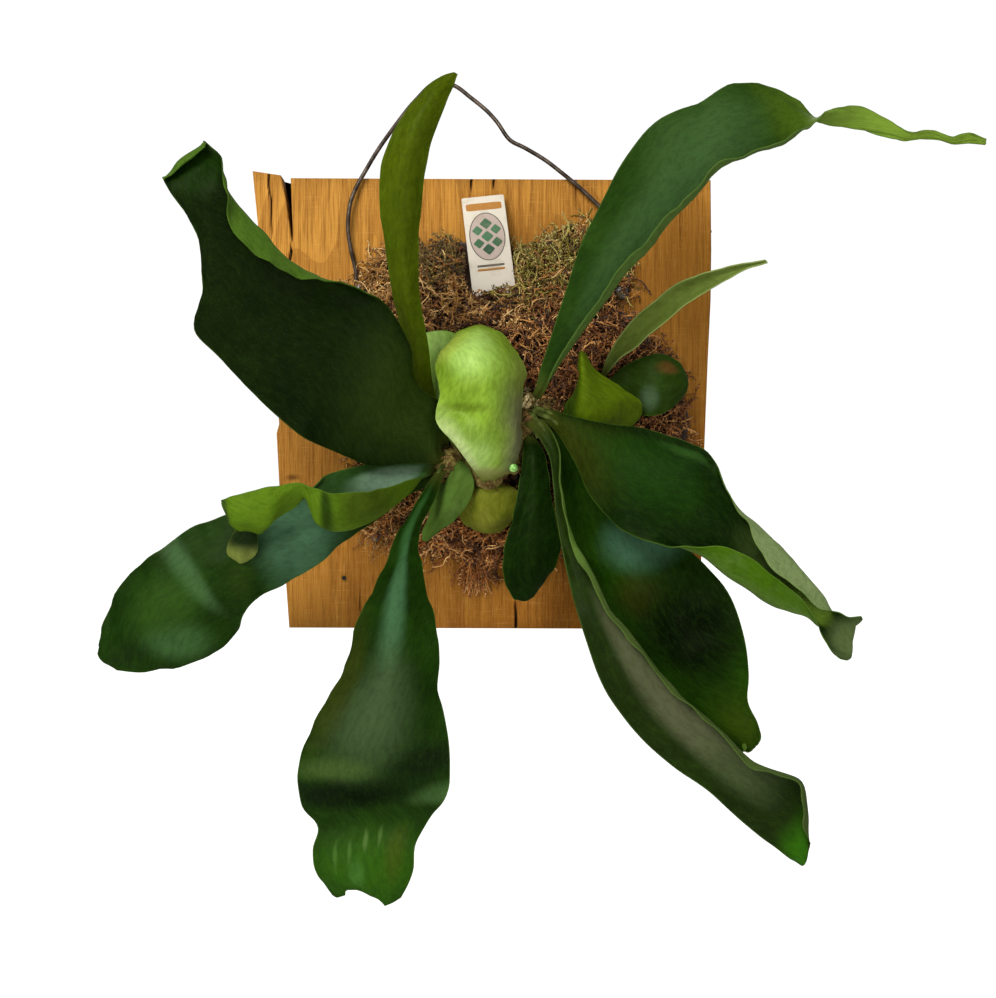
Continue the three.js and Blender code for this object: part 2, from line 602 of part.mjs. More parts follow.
function mossGeometry() {
  const outline = smoothCurve(MOSS.outline.map(([across, down]) => fromPlan([across, down, 0])), true);
  const middle = fromPlan([...MOSS.middle, 0]);
  const seat = -(BOARD.thickness + CLEARANCE);
  const points = [middle.clone().setY(seat), middle.clone().setY(seat - mossHeight(middle, 0))];
  const triangles = [];
  const ring = (k) => 2 + k * MOSS.spokes;
  for (let k = 1; k <= MOSS.rings; k += 1) {
    const reach = k / MOSS.rings;
    for (let s = 0; s < MOSS.spokes; s += 1) {
      const point = middle.clone().lerp(outline.getPoint(s / MOSS.spokes), reach);
      points.push(point.setY(seat - mossHeight(point, reach)));
    }
  }
  for (let s = 0; s < MOSS.spokes; s += 1) {
    points.push(points[ring(MOSS.rings - 1) + s].clone().setY(seat));
  }
  for (let s = 0; s < MOSS.spokes; s += 1) {
    const next = (s + 1) % MOSS.spokes;
    triangles.push(1, ring(0) + next, ring(0) + s);
    for (let k = 0; k < MOSS.rings; k += 1) {
      const a = ring(k);
      const b = ring(k + 1);
      triangles.push(a + s, b + next, b + s, a + s, a + next, b + next);
    }
    triangles.push(0, ring(MOSS.rings) + s, ring(MOSS.rings) + next);
  }
  const geometry = new THREE.BufferGeometry();
  geometry.setFromPoints(points);
  geometry.setIndex(triangles);
  return geometry;
}

// ---------------------------------------------------------------------------------------------
// Board, fixings, wire and tag

function boardGeometry() {
  const outline = new THREE.Shape(BOARD.outline.map(([x, z]) => new THREE.Vector2(x, z)));
  const block = new THREE.ExtrudeGeometry(outline, { depth: BOARD.thickness, bevelEnabled: false });
  return block.rotateX(Math.PI / 2);
}

function turned(profile) {
  const points = profile.map(([radius, along]) => new THREE.Vector2(radius, along));
  return new THREE.LatheGeometry(points, SCREW.sides);
}

// A pin driven into the board's face: a shank in its hole and a head that stands off the face.
function faceFixing({ x, z, shank, head, headThickness, standOff, depth }, grow = 0) {
  const face = -BOARD.thickness;
  const under = face - standOff;
  const crown = under - headThickness;
  const profile = [
    [0, crown - grow], [head * 0.6 + grow, crown - grow], [head + grow, crown + 0.6],
    [head + grow, under + grow], [shank + grow, under + grow], [shank + grow, face + depth - 1],
    [0, face + depth + grow],
  ];
  return turned(profile).translate(x, 0, z);
}

function wireScrew({ x, z }) {
  const standOff = WIRE.eyeOut + WIRE.diameter / 2 + CLEARANCE;
  return { ...SCREW, x, z, standOff };
}

function edgeNail(grow = 0) {
  const { x, y, z, shank, buried, proud } = EDGE_NAIL;
  const profile = [
    [0, -buried - grow], [shank + grow, -buried + 1], [shank + grow, proud + grow],
    [0, proud + grow],
  ];
  return turned(profile).rotateZ(-Math.PI / 2).translate(x, y, z);
}

function wireEye(screw, startAngle, turn) {
  const points = [];
  for (let k = 0; k < WIRE.eyePoints; k += 1) {
    const angle = startAngle + (turn * k) / (WIRE.eyePoints - 1);
    const x = screw.x + WIRE.eyeRadius * Math.cos(angle);
    const z = screw.z + WIRE.eyeRadius * Math.sin(angle);
    points.push(new THREE.Vector3(x, -(BOARD.thickness + WIRE.eyeOut), z));
  }
  return points;
}

function wireGeometry() {
  const leftEye = wireEye(LEFT_SCREW, Math.PI + WIRE.eyeTurn, -WIRE.eyeTurn);
  const rightEye = wireEye(RIGHT_SCREW, 0, -WIRE.eyeTurn);
  const path = new BentCurve([...leftEye, ...WIRE.route.map(fromPlan), ...rightEye]);
  return rodGeometry(path, WIRE.diameter / 2, WIRE.sides, WIRE.stepsPerPoint);
}

function tagGeometry(grow = 0) {
  const { width, length, thickness, corner } = TAG;
  const w = width / 2 + grow;
  const h = length / 2 + grow;
  const outline = new THREE.Shape();
  outline.moveTo(-w + corner, -h);
  outline.lineTo(w - corner, -h);
  outline.quadraticCurveTo(w, -h, w, -h + corner);
  outline.lineTo(w, h - corner);
  outline.quadraticCurveTo(w, h, w - corner, h);
  outline.lineTo(-w + corner, h);
  outline.quadraticCurveTo(-w, h, -w, h - corner);
  outline.lineTo(-w, -h + corner);
  outline.quadraticCurveTo(-w, -h, -w + corner, -h);
  const depth = thickness + 2 * grow;
  const sheet = new THREE.ExtrudeGeometry(outline, { depth, bevelEnabled: false, curveSegments: 3 });
  const middle = fromPlan(TAG.middle);
  sheet.translate(0, 0, -depth / 2);
  sheet.rotateX(Math.PI / 2);
  sheet.rotateY(TAG.tilt);
  sheet.rotateX(TAG.lean);
  return sheet.translate(middle.x, middle.y, middle.z);
}

// ---------------------------------------------------------------------------------------------
// The fern

const fern = new THREE.Group();

function addPart(name, geometry, color, roughness, metalness = 0) {
  const material = new THREE.MeshStandardMaterial({ color, roughness, metalness });
  const mesh = new THREE.Mesh(geometry, material);
  mesh.name = name;
  fern.add(mesh);
}

const leftScrew = wireScrew(LEFT_SCREW);
const rightScrew = wireScrew(RIGHT_SCREW);
const faceFixings = [leftScrew, rightScrew, OLD_SCREW, OLD_NAIL];

const frondSockets = Object.values(FRONDS).map((frond) => frondGeometry(frond, CLEARANCE));
const fixingHoles = faceFixings.map((fixing) => faceFixing(fixing, CLEARANCE));

addPart("board", cutAway(boardGeometry(), [...fixingHoles, edgeNail(CLEARANCE)]), 0xb9773a, 0.8);
addPart("rhizome", cutAway(rhizomeGeometry(), frondSockets), 0x8a7a4a, 0.9);
const mossCutters = [rhizomeGeometry(CLEARANCE), ...frondSockets, tagGeometry(CLEARANCE)];
addPart("moss", cutAway(mossGeometry(), mossCutters), 0x7a5a30, 1);
for (const [name, frond] of Object.entries(FRONDS)) {
  addPart(name, frondGeometry(frond), frond.colour, 0.45);
}
addPart("hanger_wire", wireGeometry(), 0x4a4038, 0.5, 0.8);
addPart("wire_screw_left", faceFixing(leftScrew), 0x5a5a5c, 0.4, 0.9);
addPart("wire_screw_right", faceFixing(rightScrew), 0x5a5a5c, 0.4, 0.9);
addPart("old_screw", faceFixing(OLD_SCREW), 0x6a7078, 0.4, 0.9);
addPart("old_nail", faceFixing(OLD_NAIL), 0x3a3632, 0.6, 0.8);
addPart("edge_nail", edgeNail(), 0x2a2826, 0.6, 0.8);
addPart("plant_tag", tagGeometry(), 0xe8e4dc, 0.4);

export default fern;
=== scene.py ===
"""Looks of the mounted staghorn fern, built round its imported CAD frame.

Millimetres in the tables and sums below, metres in the meshes. Each frond is lofted again through
the stations of its CAD solid, with a finer grid, a rounded rim, ruffles and its own leaf material.
"""

import math

import bmesh
import bpy
import numpy as np
from mathutils import Matrix, Vector


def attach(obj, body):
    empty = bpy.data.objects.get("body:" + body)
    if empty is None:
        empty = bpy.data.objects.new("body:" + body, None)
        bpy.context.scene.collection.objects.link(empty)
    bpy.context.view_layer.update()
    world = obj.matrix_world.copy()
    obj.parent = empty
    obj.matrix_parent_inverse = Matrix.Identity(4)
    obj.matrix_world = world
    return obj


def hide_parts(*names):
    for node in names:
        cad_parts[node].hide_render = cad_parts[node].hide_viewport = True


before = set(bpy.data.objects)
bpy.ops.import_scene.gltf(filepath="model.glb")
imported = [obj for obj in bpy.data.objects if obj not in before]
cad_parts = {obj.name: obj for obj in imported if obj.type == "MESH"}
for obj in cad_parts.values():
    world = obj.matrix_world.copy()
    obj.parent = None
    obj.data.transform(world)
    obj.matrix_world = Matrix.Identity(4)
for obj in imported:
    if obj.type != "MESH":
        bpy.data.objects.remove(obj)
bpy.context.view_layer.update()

SEED = 20
rng = np.random.default_rng(SEED)

MM = 0.001

# --- The plan: an eye one metre in front of the board's face sees a sheet of steps. A plan point
# is [steps across, steps down, millimetres out of the face].

STEP = 0.709
EYE_DISTANCE = 1000.0
EYE_ACROSS = 498.0
EYE_DOWN = 499.0
BOARD_ACROSS = 495.0
BOARD_DOWN = 403.5
BOARD_THICKNESS = 19.0
EYE_X = STEP * (EYE_ACROSS - BOARD_ACROSS)
EYE_Z = STEP * (BOARD_DOWN - EYE_DOWN)
PLAN_HEIGHT = 998
SENSOR = 36.0


# --- Shared steps

def from_plan(points):
    """Plan points, on the last axis of an array, as places in millimetres."""
    points = np.asarray(points, float)
    across, down, out = points[..., 0], points[..., 1], points[..., 2]
    step = STEP * (EYE_DISTANCE - out) / EYE_DISTANCE
    x = EYE_X + (across - EYE_ACROSS) * step
    z = EYE_Z + (EYE_DOWN - down) * step
    return np.stack([x, -(BOARD_THICKNESS + out), z], axis=-1)


def to_plan(points):
    """Steps across, steps down and millimetres out of points in millimetres."""
    out = -(points[..., 1] + BOARD_THICKNESS)
    step = STEP * (EYE_DISTANCE - out) / EYE_DISTANCE
    across = EYE_ACROSS + (points[..., 0] - EYE_X) / step
    down = EYE_DOWN - (points[..., 2] - EYE_Z) / step
    return across, down, out


def colour(text):
    """A colour such as "#2b4a1c" as the linear values that shaders take."""
    parts = [int(text[k:k + 2], 16) / 255 for k in (1, 3, 5)]
    linear = [p / 12.92 if p <= 0.04045 else ((p + 0.055) / 1.055) ** 2.4 for p in parts]
    return (*linear, 1.0)


def smooth_step(value, start, end):
    t = np.clip((value - start) / (end - start), 0, 1)
    return t * t * (3 - 2 * t)


def unit(vectors):
    return vectors / np.maximum(np.linalg.norm(vectors, axis=-1, keepdims=True), 1e-9)


WAVES = 7


def wobble(places, wavelength, seed):
    """Smooth seeded noise, about -1 to 1, at places (..., 3) in millimetres."""
    source = np.random.default_rng(seed)
    total = np.zeros(places.shape[:-1])
    for _ in range(WAVES):
        direction = unit(source.normal(size=3)) * source.uniform(0.6, 1.5) / wavelength
        total += np.sin(2 * math.pi * (places @ direction + source.random()))
    return total / math.sqrt(WAVES)


# below this, points count as one: no real span of a curve is so short
SHORTEST = 1e-4


def bend(four, w):
    """A place between the two middle ones of four points on a centripetal curve."""
    a, b, c, d = four
    before, middle, after = [
        np.sum((q - p) ** 2, axis=-1, keepdims=True) ** 0.25 for p, q in ((a, b), (b, c), (c, d))
    ]
    middle = np.where(middle < SHORTEST, 1.0, middle)
    before = np.where(before < SHORTEST, middle, before)
    after = np.where(after < SHORTEST, middle, after)
    leaving = ((b - a) / before - (c - a) / (before + middle) + (c - b) / middle) * middle
    coming = ((c - b) / middle - (d - b) / (middle + after) + (d - c) / after) * middle
    square = -3 * b + 3 * c - 2 * leaving - coming
    cube = 2 * b - 2 * c + leaving + coming
    return b + leaving * w + square * w**2 + cube * w**3


def curve_at(points, places):
    """The smooth curves through points (n, ..., 3), at places from 0 to 1 along them."""
    points = np.asarray(points, float)
    padded = np.concatenate([[2 * points[0] - points[1]], points, [2 * points[-1] - points[-2]]])
    spans = len(points) - 1
    found = []
    for place in places:
        k = min(int(place * spans), spans - 1)
        found.append(bend(padded[k:k + 4], place * spans - k))
    return np.stack(found)


def closed_curve_at(points, places):
    """As curve_at, round a closed curve."""
    points = np.asarray(points, float)
    count = len(points)
    found = []
    for place in places:
        k = int(place * count) % count
        four = [points[(k + shift) % count] for shift in (-1, 0, 1, 2)]
        found.append(bend(four, place * count - int(place * count)))
    return np.stack(found)


def add_mesh(name, points, faces, materials=(), smooth=True):
    """A mesh object from points in millimetres."""
    mesh = bpy.data.meshes.new(name)
    mesh.from_pydata((np.asarray(points) * MM).tolist(), [], faces)
    mesh.update()
    mesh.shade_smooth() if smooth else mesh.shade_flat()
    piece = bpy.data.objects.new(name, mesh)
    bpy.context.scene.collection.objects.link(piece)
    for material in materials:
        mesh.materials.append(material)
    return piece


def give_values(piece, name, values):
    """Three values for each point, which a material reads by name."""
    layer = piece.data.attributes.new(name, "FLOAT_VECTOR", "POINT")
    layer.data.foreach_set("vector", np.asarray(values, np.float32).ravel())


def stand_for(piece, slot, *nodes):
    """The piece rides with the object, and takes the place of these CAD nodes."""
    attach(piece, "root")
    if nodes:
        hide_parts(*nodes)


def grid_faces(rows, columns, closed=False):
    """Quads of a grid of points whose rows follow one another."""
    faces = []
    last = columns if closed else columns - 1
    for i in range(rows - 1):
        for j in range(last):
            a = i * columns + j
            b = i * columns + (j + 1) % columns
            faces.append((a, b, b + columns, a + columns))
    return faces


def capped_faces(rings, sides):
    """Faces of a closed body of rings of points that follow one another."""
    faces = grid_faces(rings, sides, closed=True)
    faces.append(tuple(reversed(range(sides))))
    faces.append(tuple(range((rings - 1) * sides, rings * sides)))
    return faces


def joined(solids):
    """The points and faces of several solids as those of one."""
    points, faces, first = [], [], 0
    for solid_points, solid_faces in solids:
        points.append(solid_points)
        faces += [tuple(k + first for k in face) for face in solid_faces]
        first += len(solid_points)
    return np.concatenate(points), faces


def on_every_copy(one, count, size):
    """The faces of one small solid of `size` points, for each of its copies in turn."""
    shifts = (np.arange(count) * size)[:, None, None]
    return (np.array(one)[None] + shifts).reshape(-1, len(one[0])).tolist()


# --- Materials

class Shader:
    """A material under construction, with short calls that add a node and give its output."""

    def __init__(self, name, **settings):
        self.material = bpy.data.materials.new(name)
        self.material.use_nodes = True
        self.tree = self.material.node_tree
        self.main = self.tree.nodes["Principled BSDF"]
        for socket, value in settings.items():
            self.main.inputs[socket.replace("_", " ")].default_value = value

    def node(self, kind, **settings):
        node = self.tree.nodes.new("ShaderNode" + kind)
        for key, value in settings.items():
            setattr(node, key, value)
        return node

    def put(self, socket, value):
        if isinstance(value, bpy.types.NodeSocket):
            self.tree.links.new(value, socket)
        else:
            socket.default_value = value

    def finish_with(self, **sockets):
        for socket, value in sockets.items():
            self.put(self.main.inputs[socket.replace("_", " ")], value)
        return self.material

    def values(self, name):
        """A mesh's own three values, as one vector and as its parts."""
        vector = self.node("Attribute", attribute_name=name).outputs["Vector"]
        return (vector, *self.parts(vector))

    def place(self):
        """The object's own coordinates in millimetres."""
        return self.scaled(self.node("TexCoord").outputs["Object"], [1 / MM] * 3)

    def scaled(self, vector, scale, shift=(0, 0, 0)):
        node = self.node("Mapping")
        self.put(node.inputs["Vector"], vector)
        self.put(node.inputs["Scale"], tuple(scale))
        self.put(node.inputs["Location"], tuple(shift))
        return node.outputs[0]

    def noise(self, vector, scale=1.0, detail=3.0, roughness=0.55, distortion=0.0):
        node = self.node("TexNoise")
        sockets = ("Vector", "Scale", "Detail", "Roughness", "Distortion")
        for socket, value in zip(sockets, (vector, scale, detail, roughness, distortion)):
            self.put(node.inputs[socket], value)
        return node.outputs["Fac"]

    def cell_edges(self, vector):
        """How far a place is from the nearest edge between irregular cells."""
        node = self.node("TexVoronoi", feature="DISTANCE_TO_EDGE")
        self.put(node.inputs["Vector"], vector)
        self.put(node.inputs["Scale"], 1.0)
        return node.outputs["Distance"]

    def ramp(self, value, start, end, low=0.0, high=1.0):
        """value from start to end as low to high, eased and held at both ends."""
        node = self.node("MapRange", interpolation_type="SMOOTHSTEP")
        for socket, number in zip(node.inputs, (value, start, end, low, high)):
            self.put(socket, number)
        return node.outputs["Result"]

    def math(self, operation, a, b=0.0):
        node = self.node("Math", operation=operation)
        self.put(node.inputs[0], a)
        self.put(node.inputs[1], b)
        return node.outputs[0]

    def times(self, a, b):
        return self.math("MULTIPLY", a, b)

    def parts(self, vector):
        node = self.node("SeparateXYZ")
        self.put(node.inputs[0], vector)
        return tuple(node.outputs)

    def mix(self, share, a, b, blend="MIX"):
        node = self.node("Mix", data_type="RGBA", blend_type=blend)
        self.put(node.inputs[0], share)
        self.put(node.inputs[6], colour(a) if isinstance(a, str) else a)
        self.put(node.inputs[7], colour(b) if isinstance(b, str) else b)
        return node.outputs[2]

    def laid_over(self, tone, *layers):
        """The tone under layers of (mask, start, end, most, tint), which come in with the mask."""
        for mask, start, end, most, tint in layers:
            tone = self.mix(self.ramp(mask, start, end, 0, most), tone, tint)
        return tone

    def spot(self, vector, middle, reach, soft=0.5):
        """1 inside an ellipsoid of these half sizes, and 0 outside it."""
        scale = [1 / r if r else 0 for r in reach]
        shift = [-m * s for m, s in zip(middle, scale)]
        length = self.node("VectorMath", operation="LENGTH")
        self.put(length.inputs[0], self.scaled(vector, scale, shift))
        return self.ramp(length.outputs["Value"], 1.0, soft)

    def bump(self, height, strength, distance, below=None):
        node = self.node("Bump")
        self.put(node.inputs["Height"], height)
        self.put(node.inputs["Strength"], strength)
        self.put(node.inputs["Distance"], distance * MM)
        if below is not None:
            self.put(node.inputs["Normal"], below)
        return node.outputs[0]


# --- Leaf materials. "leaf" holds a point's place from foot to tip and from edge to edge, and its
# side: 1 on the upper face and 0 on the underside. "flat" holds the same place in millimetres, and
# the distance from the nearest edge.

def leaf_veins(shader, flat):
    """Faint forking veins: long narrow cells that lie along the blade."""
    lying = shader.scaled(flat, (0.045, 0.2, 0))
    return shader.ramp(shader.cell_edges(lying), 0.0, 0.09)


def with_tints_and_painted_light(shader, tone, leaf, clouds, patches):
    """The tone with soft patches of other colours laid over it: the blade's own tints, and painted
    highlights, sheen, reflections and shade.
    """
    for u, v, reach_u, reach_v, tint, share in patches:
        shape = shader.spot(leaf, (u, v, 0), (reach_u, reach_v, 0), 0.2)
        ragged = shader.times(shape, shader.ramp(clouds, 0.1, 0.5, 0.6, 1.0))
        tone = shader.mix(shader.times(ragged, share), tone, tint)
    return tone


def two_sided(shader, look, leaf, side, clouds, streaks):
    """The tones of the upper face and the underside, with patches of tint and of painted
    highlight, sheen and shade, before veins, mottling, rim and foot are laid on.
    """
    place = shader.place()
    upper = shader.laid_over(
        look["upper"], (clouds, 0.35, 0.8, 0.6, look["upper_light"]),
        (streaks, 0.45, 0.75, 0.35, look["upper_light"]))
    # patches on both faces: the blade's own tints, and painted highlights, sheen, reflections and
    # shade
    upper = with_tints_and_painted_light(shader, upper, leaf, clouds, look["patches"])
    scurf = shader.ramp(shader.noise(place, 1.3, 2), 0.6, 0.72)
    upper = shader.mix(shader.times(scurf, look["scurf"]), upper, "#8f9c86")
    under = shader.mix(shader.noise(place, 0.5, 5), look["under"], look["under_light"])
    under = with_tints_and_painted_light(shader, under, leaf, clouds, look["under_tints_and_painted_light"])
    return shader.mix(shader.ramp(side, 0.3, 0.7), under, upper)


def leaf_material(name, look):
    shader = Shader(name, Specular_IOR_Level=look["shine"], Specular_Tint=colour("#dcf0c0"))
    leaf, along, _, side = shader.values("leaf")
    flat, _, _, inward = shader.values("flat")
    place = shader.place()
    streaks = shader.noise(shader.scaled(flat, (0.012, 0.14, 0)), 1.0, 4)
    clouds = shader.noise(place, 0.035, 4)
    mottle = shader.noise(shader.scaled(flat, (0.16, 0.3, 0)), 1.0, 6, 0.68)
    veins = leaf_veins(shader, flat)

    tone = two_sided(shader, look, leaf, side, clouds, streaks)
    tone = shader.mix(shader.ramp(mottle, 0.42, 0.62, 0, 0.3), tone, "#96987c", "MULTIPLY")
    tone = shader.laid_over(tone, (mottle, 0.5, 0.3, 0.12, look["vein"]))
    tone = shader.mix(shader.ramp(veins, 0, 1, look["veining"], 0), tone, look["vein"])
    # the rim colour is the margin's own paler tone, dry and brown on the old shield, and a painted
    # highlight along the edge
    tone = shader.laid_over(
        tone, (inward, 0.9, 0.2, look["rim"], look["rim_and_highlight_colour"]),
        (along, look["foot_reach"], 0.02, 1, look["foot"]))

    rough = shader.ramp(clouds, 0.25, 0.75, look["rough"] - 0.05, look["rough"] + 0.08)
    rough = shader.math("ADD", rough, shader.ramp(side, 0.7, 0.3, 0, 0.2))
    grain = shader.bump(shader.noise(place, 1.6, 3), 0.35, 0.12)
    relief = shader.bump(veins, 0.3, 0.1, grain)
    relief = shader.bump(mottle, 0.5, 0.4, relief)
    relief = shader.bump(streaks, 0.3, 0.5, relief)
    return shader.finish_with(Base_Color=tone, Roughness=rough, Normal=relief)


# --- Fronds, as the CAD lofts them: a station is a row of plan points across the blade. Each
# frond has its kind of blade, the rib's place across it, its slot and its stations.

# thickness at the rib and at the edges, and what the foot adds, in millimetres
FERTILE = {"rib": 2.2, "edge": 1.0, "foot": 0.6}
STRAP = {"rib": 1.8, "edge": 1.0, "foot": 0.6}
CURLED = {"rib": 1.4, "edge": 0.9, "foot": 0.2}
SHIELD = {"rib": 1.4, "edge": 1.0, "foot": 0.4}
RIB_SPREAD = 0.17

